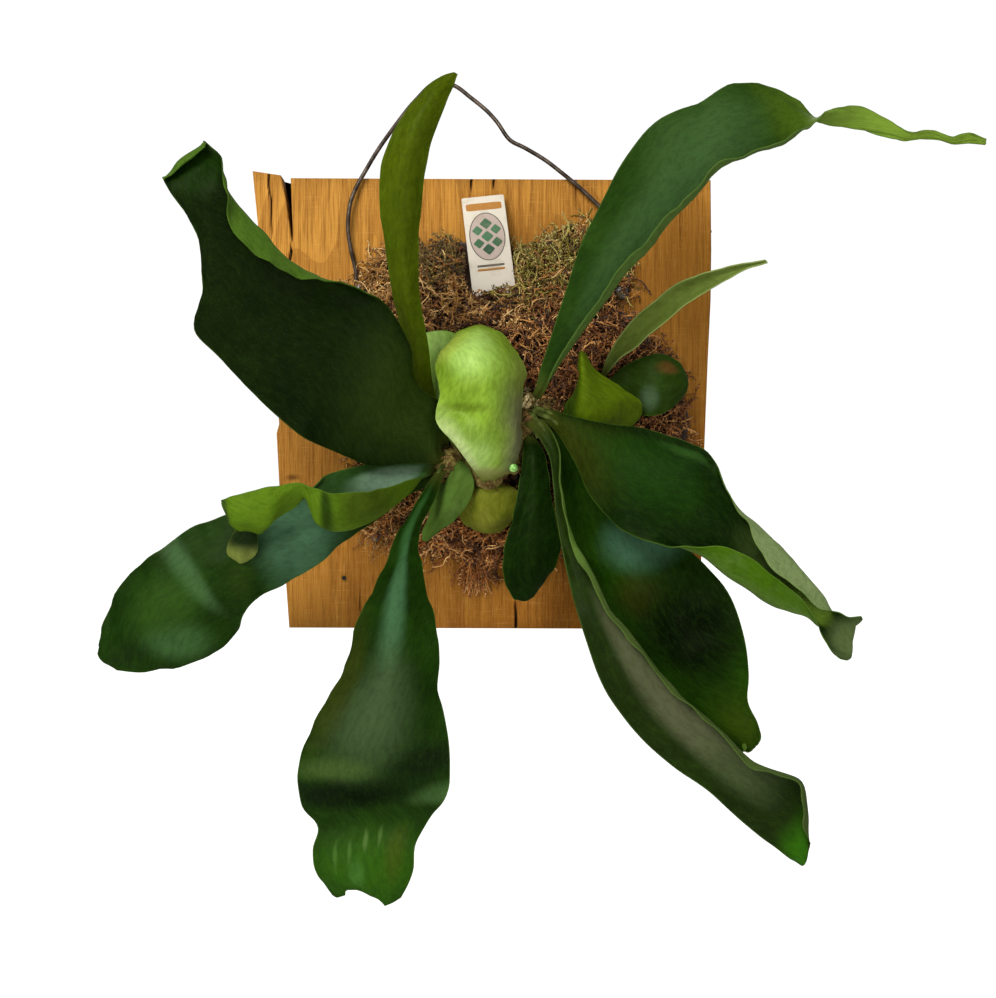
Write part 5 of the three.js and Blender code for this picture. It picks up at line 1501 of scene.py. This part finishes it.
def tube_rings(path, radius, sides):
    """Rings square to a path, turned as little as possible from each to the next."""
    ways = unit(np.gradient(path, axis=0))
    away = unit(np.cross(ways[0], [0.2, 0.3, 0.9]))
    rings = []
    for point, way in zip(path, ways):
        away = unit(away - way * (away @ way))
        side = np.cross(way, away)
        turns = np.arange(sides) * 2 * math.pi / sides
        ring = np.cos(turns)[:, None] * away + np.sin(turns)[:, None] * side
        rings.append(point + radius * ring)
    return np.stack(rings)


def tube(path, radius, sides):
    """Points and faces of a closed round rod along a path."""
    return tube_rings(path, radius, sides).reshape(-1, 3), capped_faces(len(path), sides)


def melt_together(piece, voxel):
    """Melts the piece's solids into one surface."""
    melt = piece.modifiers.new("melt", "REMESH")
    melt.mode = "VOXEL"
    melt.voxel_size = voxel * MM
    graph = bpy.context.evaluated_depsgraph_get()
    mesh = bpy.data.meshes.new_from_object(piece.evaluated_get(graph))
    piece.modifiers.clear()
    piece.data = mesh
    mesh.shade_smooth()


def rhizome_material():
    shader = Shader("rhizome_skin", Specular_IOR_Level=0.25)
    place = shader.place()
    clouds = shader.noise(place, 0.25, 4)
    fibre = shader.noise(place, 1.2, 4)
    tone = shader.laid_over(
        "#4d3c1c", (clouds, 0.35, 0.65, 1, "#7b7236"), (fibre, 0.5, 0.75, 1, "#a3925c"))
    relief = shader.bump(fibre, 0.7, 0.5)
    return shader.finish_with(Base_Color=tone, Roughness=0.8, Normal=relief)


def make_rhizome():
    path = curve_at(from_plan(RHIZOME_ROUTE), np.linspace(0, 1, RHIZOME_RINGS))
    points, faces = tube(path, RHIZOME_RADIUS, RHIZOME_SIDES)
    piece = add_mesh("rhizome_stem", points, faces, [rhizome_material()])
    solid = bmesh.new()
    solid.from_mesh(piece.data)
    for *place, radius in RHIZOME_KNUCKLES:
        middle = Vector(from_plan(place) * MM)
        bmesh.ops.create_icosphere(
            solid, subdivisions=3, radius=radius * MM, matrix=Matrix.Translation(middle))
    solid.to_mesh(piece.data)
    solid.free()
    melt_together(piece, RHIZOME_VOXEL)
    places = np.array([point.co for point in piece.data.vertices])
    normals = np.array([point.normal for point in piece.data.vertices])
    rise = 0.7 * wobble(places / MM, 9, seed=81) + 0.3 * wobble(places / MM, 4, seed=82)
    piece.data.vertices.foreach_set("co", (places + normals * rise[:, None] * MM).ravel())
    stand_for(piece, "rhizome", "rhizome")
    for patch, settings in enumerate(SCALE_PATCHES):
        make_scales(f"rhizome_scales_{patch}", *settings)


def scale_material(name, palette):
    shader = Shader(name, Specular_IOR_Level=0.3)
    _, shade, along, _ = shader.values("strand")
    dark, light = SCALE_COLOURS[palette]
    tone = shader.laid_over(shader.mix(shade, dark, light), (along, 0.6, 0.0, 0.6, dark))
    grain = shader.bump(shader.noise(shader.place(), 2.0, 3), 0.4, 0.15)
    return shader.finish_with(Base_Color=tone, Roughness=0.7, Normal=grain)


def make_scales(name, across, down, out, radius, count, length, palette):
    """Pointed papery scales that lie over a knuckle like the scales of a bud."""
    middle = from_plan((across, down, out))
    normal = unit(rng.normal(size=(count, 3)) - [0, 0.5, 0])
    roots = middle + normal * radius
    forward = unit(np.cross(np.cross(normal, [0.1, -1.0, 0.3]), normal) + normal * 0.35)
    side = unit(np.cross(forward, normal))
    size = length * rng.uniform(0.7, 1.3, (count, 1))
    belly = roots + forward * size * 0.4 + normal * 0.25
    width = side * size * 0.22
    tip = roots + forward * size + normal * rng.uniform(-0.3, 0.9, (count, 1))
    crest, keel = belly + normal * 0.3, belly - normal * 0.15
    points = np.stack([roots, belly - width, tip, belly + width, crest, keel], axis=1)
    points = points.reshape(-1, 3)
    skin = scale_material(name + "_look", palette)
    piece = add_mesh(name, points, on_every_copy(SCALE_FACES, count, 6), [skin], smooth=False)
    shade = np.repeat(rng.uniform(0, 1, count), 6)
    along = np.tile([0, 0.4, 1, 0.4, 0.4, 0.4], count)
    give_values(piece, "strand", np.stack([shade, along, shade], axis=-1))
    stand_for(piece, "rhizome")


# --- Slender stalks of the fronds where they leave the stem, and a young bud beside the shield

STALKS = [
    [(530, 410, 45), (540, 414, 55), (549, 418, 62.5), (560, 425, 69), (570, 431, 72)],
    [(528, 412, 45), (537, 420, 56), (545, 431, 64.5), (551, 445, 68)],
    [(533, 408, 44), (545, 411, 55), (556, 417, 64), (566, 423, 68)],
    [(526, 414, 45), (532, 424, 52), (538, 438, 55)],
    [(452, 460, 43), (443, 466, 50), (438, 474, 57)],
]
STALK_RADIUS = 2.1
STALK_RINGS = 24
STALK_SIDES = 12
BUD = (513.5, 468, 62)
BUD_RADIUS = 2.9
BUD_STRETCH = 1.2
BUD_RINGS = 20
BUD_SIDES = 32


def stalk_material():
    shader = Shader("stalk_green", Specular_IOR_Level=0.1)
    place = shader.place()
    clouds = shader.noise(place, 0.12, 4)
    fleck = shader.noise(place, 1.2, 4)
    tone = shader.laid_over(
        "#24300a", (clouds, 0.35, 0.65, 1, "#4a5626"), (fleck, 0.5, 0.75, 0.4, "#66703c"))
    relief = shader.bump(fleck, 0.5, 0.3)
    return shader.finish_with(Base_Color=tone, Roughness=0.6, Normal=relief)


def make_stalks():
    skin = stalk_material()
    for number, route in enumerate(STALKS):
        path = curve_at(from_plan(route), np.linspace(0, 1, STALK_RINGS))
        rings = tube_rings(path, STALK_RADIUS, STALK_SIDES)
        knots = 0.06 * np.sin(np.linspace(0, 9, STALK_RINGS) + number)
        slimming = np.linspace(1, 0.6, STALK_RINGS) + knots
        points = path[:, None] + (rings - path[:, None]) * slimming[:, None, None]
        faces = capped_faces(STALK_RINGS, STALK_SIDES)
        piece = add_mesh(f"frond_stalk_{number}", points.reshape(-1, 3), faces, [skin])
        stand_for(piece, "frond_mid")


def make_bud():
    shader = Shader("bud_green", Specular_IOR_Level=0.5)
    place = shader.place()
    clouds = shader.noise(place, 0.4, 3)
    tone = shader.laid_over("#4a9430", (clouds, 0.35, 0.65, 1, "#a8d880"))
    relief = shader.bump(shader.noise(place, 1.5, 3), 0.3, 0.15)
    skin = shader.finish_with(Base_Color=tone, Roughness=0.3, Normal=relief)
    turns = np.linspace(0.02, math.pi - 0.02, BUD_RINGS)
    profile = [(BUD_RADIUS * math.sin(t), -BUD_RADIUS * BUD_STRETCH * math.cos(t)) for t in turns]
    points, faces = lathed(profile, BUD_SIDES)
    points = points + 0.12 * wobble(points, 2.5, seed=91)[:, None] + from_plan(BUD)
    stand_for(add_mesh("young_bud", points, faces, [skin]), "frond_light")


# --- Wire, screws and nails

WIRE_RADIUS = 1.5
WIRE_EYE_RADIUS = 4.1
WIRE_EYE_TURN = math.radians(250)
WIRE_EYE_POINTS = 7
WIRE_EYE_OUT = 2.4
WIRE_STEPS = 8
WIRE_SIDES = 14
WIRE_ROUTE = [
    (356, 272, 3), (351, 250, 4), (348, 228, 5), (350, 205, 5), (356, 188, 4), (366, 170, 3),
    (378, 150, 0), (395, 126, -4), (415, 101, -8), (437, 82, -11), (455, 86, -11),
    (470, 97, -10), (487, 111, -8), (497, 122, -7), (510, 140, -4), (525, 148, -2),
    (545, 160, 1), (562, 173, 3), (580, 188, 4), (598, 205, 5), (615, 222, 5), (627, 240, 4),
    (630, 262, 3), (629, 276, 3),
]
LEFT_SCREW = (-94.0, 80.0)
RIGHT_SCREW = (89.5, 78.5)
WIRE_HEAD_OFF = WIRE_EYE_OUT + WIRE_RADIUS + 0.3
HEAD_SIDES = 48
EDGE_NAIL = (153, -9.5, 123.7)
EDGE_NAIL_SIDES = 24
# radius and distance along it, from the end that shows
EDGE_NAIL_PROFILE = [(0.1, -2.0), (0.8, -1.95), (1.1, -1.5), (1.1, 10), (0.1, 12)]


def wire_eye(screw, start, turn):
    """Points of the loop that the wire makes round a screw."""
    turns = start + turn * np.linspace(0, 1, WIRE_EYE_POINTS)
    x = screw[0] + WIRE_EYE_RADIUS * np.cos(turns)
    z = screw[1] + WIRE_EYE_RADIUS * np.sin(turns)
    return np.stack([x, np.full_like(x, -(BOARD_THICKNESS + WIRE_EYE_OUT)), z], axis=-1)


def steel_material(name, dark, light, rust, polish):
    shader = Shader(name, Metallic=0.75, Specular_IOR_Level=0.5)
    place = shader.place()
    clouds = shader.noise(place, 0.12, 4)
    fleck = shader.noise(place, 1.2, 3)
    tone = shader.laid_over(dark, (clouds, 0.35, 0.65, 1, light), (fleck, 0.55, 0.72, 0.6, rust))
    rough = shader.ramp(fleck, 0.3, 0.7, polish, polish + 0.2)
    relief = shader.bump(fleck, 0.35, 0.15)
    return shader.finish_with(Base_Color=tone, Roughness=rough, Normal=relief)


def make_wire():
    left = wire_eye(LEFT_SCREW, math.pi + WIRE_EYE_TURN, -WIRE_EYE_TURN)
    right = wire_eye(RIGHT_SCREW, 0, -WIRE_EYE_TURN)
    route = np.concatenate([left, from_plan(WIRE_ROUTE), right])
    path = curve_at(route, np.linspace(0, 1, WIRE_STEPS * (len(route) - 1) + 1))
    points, faces = tube(path, WIRE_RADIUS, WIRE_SIDES)
    steel = steel_material("wire_steel", "#2e2822", "#5a5048", "#4a2e1a", 0.4)
    stand_for(add_mesh("wire_bent", points, faces, [steel]), "wire", "hanger_wire")


def lathed(profile, sides):
    """Points and faces of a turned pin along Y, closed at both ends of its profile."""
    turns = np.arange(sides) * 2 * math.pi / sides
    rings = [
        np.stack([r * np.sin(turns), np.full(sides, y), r * np.cos(turns)], axis=-1)
        for r, y in profile
    ]
    return np.concatenate(rings), capped_faces(len(profile), sides)


def screw_profile(head, thick, shank, under, depth):
    """(radius, y) from the middle of a domed head, over its rim and down the shank."""
    crown = under - thick
    dome = [(head * s, crown + thick * 0.45 * s**3) for s in np.linspace(0.04, 1, 26)]
    rim = [(head, under - thick * 0.2), (head * 0.96, under), (shank, under)]
    return dome + rim + [(shank, under + depth - 1.5), (0.2, under + depth)]


def sink_cross(points, arm, half_width, depth):
    """Presses the head's cross-shaped recess into it."""
    x, z = np.abs(points[:, 0]), np.abs(points[:, 2])
    inside = (np.minimum(x, z) < half_width) & (np.maximum(x, z) < arm)
    top = points[:, 1] < points[:, 1].min() + 0.9
    points[:, 1] += depth * (inside & top)
    return points


def make_fixing(node, x, z, head, thick, shank, under, depth, recess, material):
    """A screw or nail: its head's radius and thickness, its shank's radius, and how far the head's
    underside stands off the wood and the shank goes into it."""
    profile = screw_profile(head, thick, shank, -(BOARD_THICKNESS + under), depth)
    points, faces = lathed(profile, HEAD_SIDES)
    if recess:
        points = sink_cross(points, head * 0.55, head * 0.13, thick * 0.4)
    points = points + [x, 0, z]
    piece = add_mesh(node + "_turned", points, faces, [material], smooth=False)
    stand_for(piece, "nail" if "nail" in node else "screw", node)


def make_fixings():
    zinc = steel_material("screw_zinc", "#4a4b4e", "#8a8c90", "#5c4028", 0.35)
    blued = steel_material("screw_blued", "#3c444e", "#78828e", "#4a3626", 0.4)
    iron = steel_material("nail_iron", "#1c1a18", "#3c3732", "#4a2a14", 0.5)
    make_fixing("wire_screw_left", *LEFT_SCREW, 4.4, 2.2, 2, WIRE_HEAD_OFF, 12, True, zinc)
    make_fixing("wire_screw_right", *RIGHT_SCREW, 4.4, 2.2, 2, WIRE_HEAD_OFF, 12, True, zinc)
    make_fixing("old_screw", -84.7, -94.7, 2.9, 1.4, 1.5, 0.3, 9, True, blued)
    make_fixing("old_nail", -107, -123.7, 1.6, 1.0, 0.9, 0.3, 9, False, iron)
    make_edge_nail(iron)


def make_edge_nail(material):
    """A nail whose end stands out of the board's right edge."""
    points, faces = lathed(EDGE_NAIL_PROFILE, EDGE_NAIL_SIDES)
    points = np.stack([-points[:, 1], points[:, 0], points[:, 2]], axis=-1) + EDGE_NAIL
    piece = add_mesh("edge_nail_end", points, faces, [material], smooth=False)
    stand_for(piece, "nail", "edge_nail")


# --- Plant tag: a plastic sheet with a plain generic print

TAG_COLOUR = "#d2ccc0"
PRINT_RISE = 0.04
PRINT_DEPTH = 0.1
PRINT_POINTS = 40
OVAL = 1
BAR = 0.25
# colour, middle across and up, half width, half height, shape, turn in degrees
TAG_PRINT = [
    ("#a8701c", 0, 30.0, 12.6, 2.8, BAR, 0), ("#4c4840", 0, 6.5, 12.6, 18.6, OVAL, 0),
    ("#b3a39c", 0, 6.5, 11.9, 17.9, OVAL, 0), ("#2c5c3c", 0, 16.5, 3.2, 3.2, BAR, 45),
    ("#3a6c48", 0, 6.5, 3.2, 3.2, BAR, 45), ("#1f4a30", 0, -3.5, 3.2, 3.2, BAR, 45),
    ("#3a6c48", -6.4, 11.5, 2.8, 2.8, BAR, 45), ("#3a6c48", 6.4, 11.5, 2.8, 2.8, BAR, 45),
    ("#2c5c3c", -6.4, 1.5, 2.8, 2.8, BAR, 45), ("#2c5c3c", 6.4, 1.5, 2.8, 2.8, BAR, 45),
    ("#55524a", 0, -16.0, 9.5, 0.7, BAR, 0), ("#a8701c", 0, -19.0, 9.5, 0.7, BAR, 0),
]


def tag_patch(across, up, half_width, half_height, power, turn):
    """The outline of a printed shape: an oval at power 1, and squarer as the power falls."""
    turns = np.arange(PRINT_POINTS) * 2 * math.pi / PRINT_POINTS
    x = half_width * np.sign(np.cos(turns)) * np.abs(np.cos(turns)) ** power
    y = half_height * np.sign(np.sin(turns)) * np.abs(np.sin(turns)) ** power
    angle = math.radians(turn)
    return np.stack([across + x * math.cos(angle) - y * math.sin(angle),
                     up + x * math.sin(angle) + y * math.cos(angle)], axis=-1)


def tag_outline():
    """The sheet's outline with its rounded corners."""
    points = []
    corners = [(1, -1, -90), (1, 1, 0), (-1, 1, 90), (-1, -1, 180)]
    for right, upper, start in corners:
        middle = np.array([right * (TAG_WIDTH / 2 - TAG_CORNER),
                           upper * (TAG_LENGTH / 2 - TAG_CORNER)])
        for turn in np.radians(start + np.linspace(0, 90, 7)):
            points.append(middle + TAG_CORNER * np.array([math.cos(turn), math.sin(turn)]))
    return np.array(points)


def slab(outline, back, front):
    """Points and faces of a flat plate between two depths, front towards +Z."""
    count = len(outline)
    levels = [np.column_stack([outline, np.full(count, depth)]) for depth in (back, front)]
    return np.concatenate(levels), capped_faces(2, count)


def print_material(name, tint):
    shader = Shader(name, Specular_IOR_Level=0.45)
    place = shader.place()
    wear = shader.noise(place, 0.35, 4)
    dirt = shader.noise(place, 0.09, 3)
    tone = shader.laid_over(
        tint, (wear, 0.55, 0.8, 0.15, "#d8d2c6"), (dirt, 0.5, 0.8, 0.3, "#8a7654"))
    rough = shader.ramp(wear, 0.3, 0.7, 0.3, 0.5)
    return shader.finish_with(Base_Color=tone, Roughness=rough)


def make_tag():
    face = TAG_THICKNESS / 2
    solids = [slab(tag_outline(), -face, face)]
    for layer, (_, *shape) in enumerate(TAG_PRINT):
        front = face + PRINT_RISE * (1 + layer)
        solids.append(slab(tag_patch(*shape), face - PRINT_DEPTH, front))
    points, faces = joined(solids)
    turn = Matrix.Rotation(TAG_LEAN, 3, "X") @ Matrix.Rotation(TAG_TILT, 3, "Y")
    turn = np.array(turn @ Matrix.Rotation(math.pi / 2, 3, "X"))
    placed = points @ turn.T + from_plan(TAG_MIDDLE)
    tints = [TAG_COLOUR] + [tint for tint, *_ in TAG_PRINT]
    materials = [print_material(f"tag_print_{k}", tint) for k, tint in enumerate(tints)]
    piece = add_mesh("plant_tag_sheet", placed, faces, materials, smooth=False)
    owners = np.repeat(np.arange(len(solids)), [len(part) for _, part in solids])
    piece.data.polygons.foreach_set("material_index", owners.tolist())
    stand_for(piece, "tag", "plant_tag")


# --- Camera, floor and light

AMBIENT = 0.22
BACKDROP = 1.05
FLOOR_HALF = 40000
FLOOR_DROP = -1200
# place and aim in metres, size, power and tint
LIGHTS = {
    "key": ((-0.8, -1.7, 1.15), (0, -0.05, 0), 0.9, 46, "#fffaf0"),
    "fill": ((0.9, -1.9, -0.4), (0, -0.05, -0.05), 1.6, 16, "#fff8ec"),
    "low": ((-1.1, -1.6, -0.5), (0, -0.05, 0), 1.4, 10, "#fffaf0"),
    "rear": ((0.6, 1.2, 1.6), (0, 0, 0), 1.4, 14, "#fffaf0"),
}


def make_camera():
    data = bpy.data.cameras.new("camera")
    data.sensor_width = SENSOR
    data.lens = SENSOR * EYE_DISTANCE / (PLAN_HEIGHT * STEP)
    camera = bpy.data.objects.new("camera", data)
    bpy.context.scene.collection.objects.link(camera)
    camera.location = Vector((EYE_X, -(BOARD_THICKNESS + EYE_DISTANCE), EYE_Z)) * MM
    camera.rotation_euler = (math.pi / 2, 0, 0)
    bpy.context.scene.camera = camera


def add_light(name, place, aim, size, power, tint):
    data = bpy.data.lights.new(name, "AREA")
    data.shape = "SQUARE"
    data.size = size
    data.energy = power
    data.color = colour(tint)[:3]
    light = bpy.data.objects.new(name, data)
    light.location = place
    way = Vector(aim) - Vector(place)
    light.rotation_euler = way.to_track_quat("-Z", "Y").to_euler()
    bpy.context.scene.collection.objects.link(light)


def make_world():
    """A white backdrop for the eye, and a dimmer even light on the fern."""
    world = bpy.data.worlds.new("studio")
    bpy.context.scene.world = world
    world.use_nodes = True
    tree = world.node_tree
    background = tree.nodes["Background"]
    background.inputs["Color"].default_value = colour("#ffffff")
    sight = tree.nodes.new("ShaderNodeLightPath").outputs["Is Camera Ray"]
    level = tree.nodes.new("ShaderNodeMapRange")
    tree.links.new(sight, level.inputs["Value"])
    level.inputs["To Min"].default_value = AMBIENT
    level.inputs["To Max"].default_value = BACKDROP
    tree.links.new(level.outputs["Result"], background.inputs["Strength"])


def make_floor():
    ways = [(-1, -1), (1, -1), (1, 1), (-1, 1)]
    corners = [(x * FLOOR_HALF, y * FLOOR_HALF, FLOOR_DROP) for x, y in ways]
    shader = Shader("pale_floor", Roughness=0.8, Base_Color=colour("#f2f2f0"))
    shader.main.inputs["Emission Color"].default_value = colour("#ffffff")
    shader.finish_with(Emission_Strength=shader.node("LightPath").outputs["Is Camera Ray"])
    floor = add_mesh("floor", corners, [(0, 1, 2, 3)], [shader.material], smooth=False)


def make_stage():
    make_camera()
    make_world()
    make_floor()
    for name, settings in LIGHTS.items():
        add_light(name, *settings)
    bpy.context.scene.view_settings.view_transform = "Standard"


# --- The scene

make_stage()
make_board()
make_moss()
make_rhizome()
make_fronds()
make_stalks()
make_bud()
make_wire()
make_fixings()
make_tag()
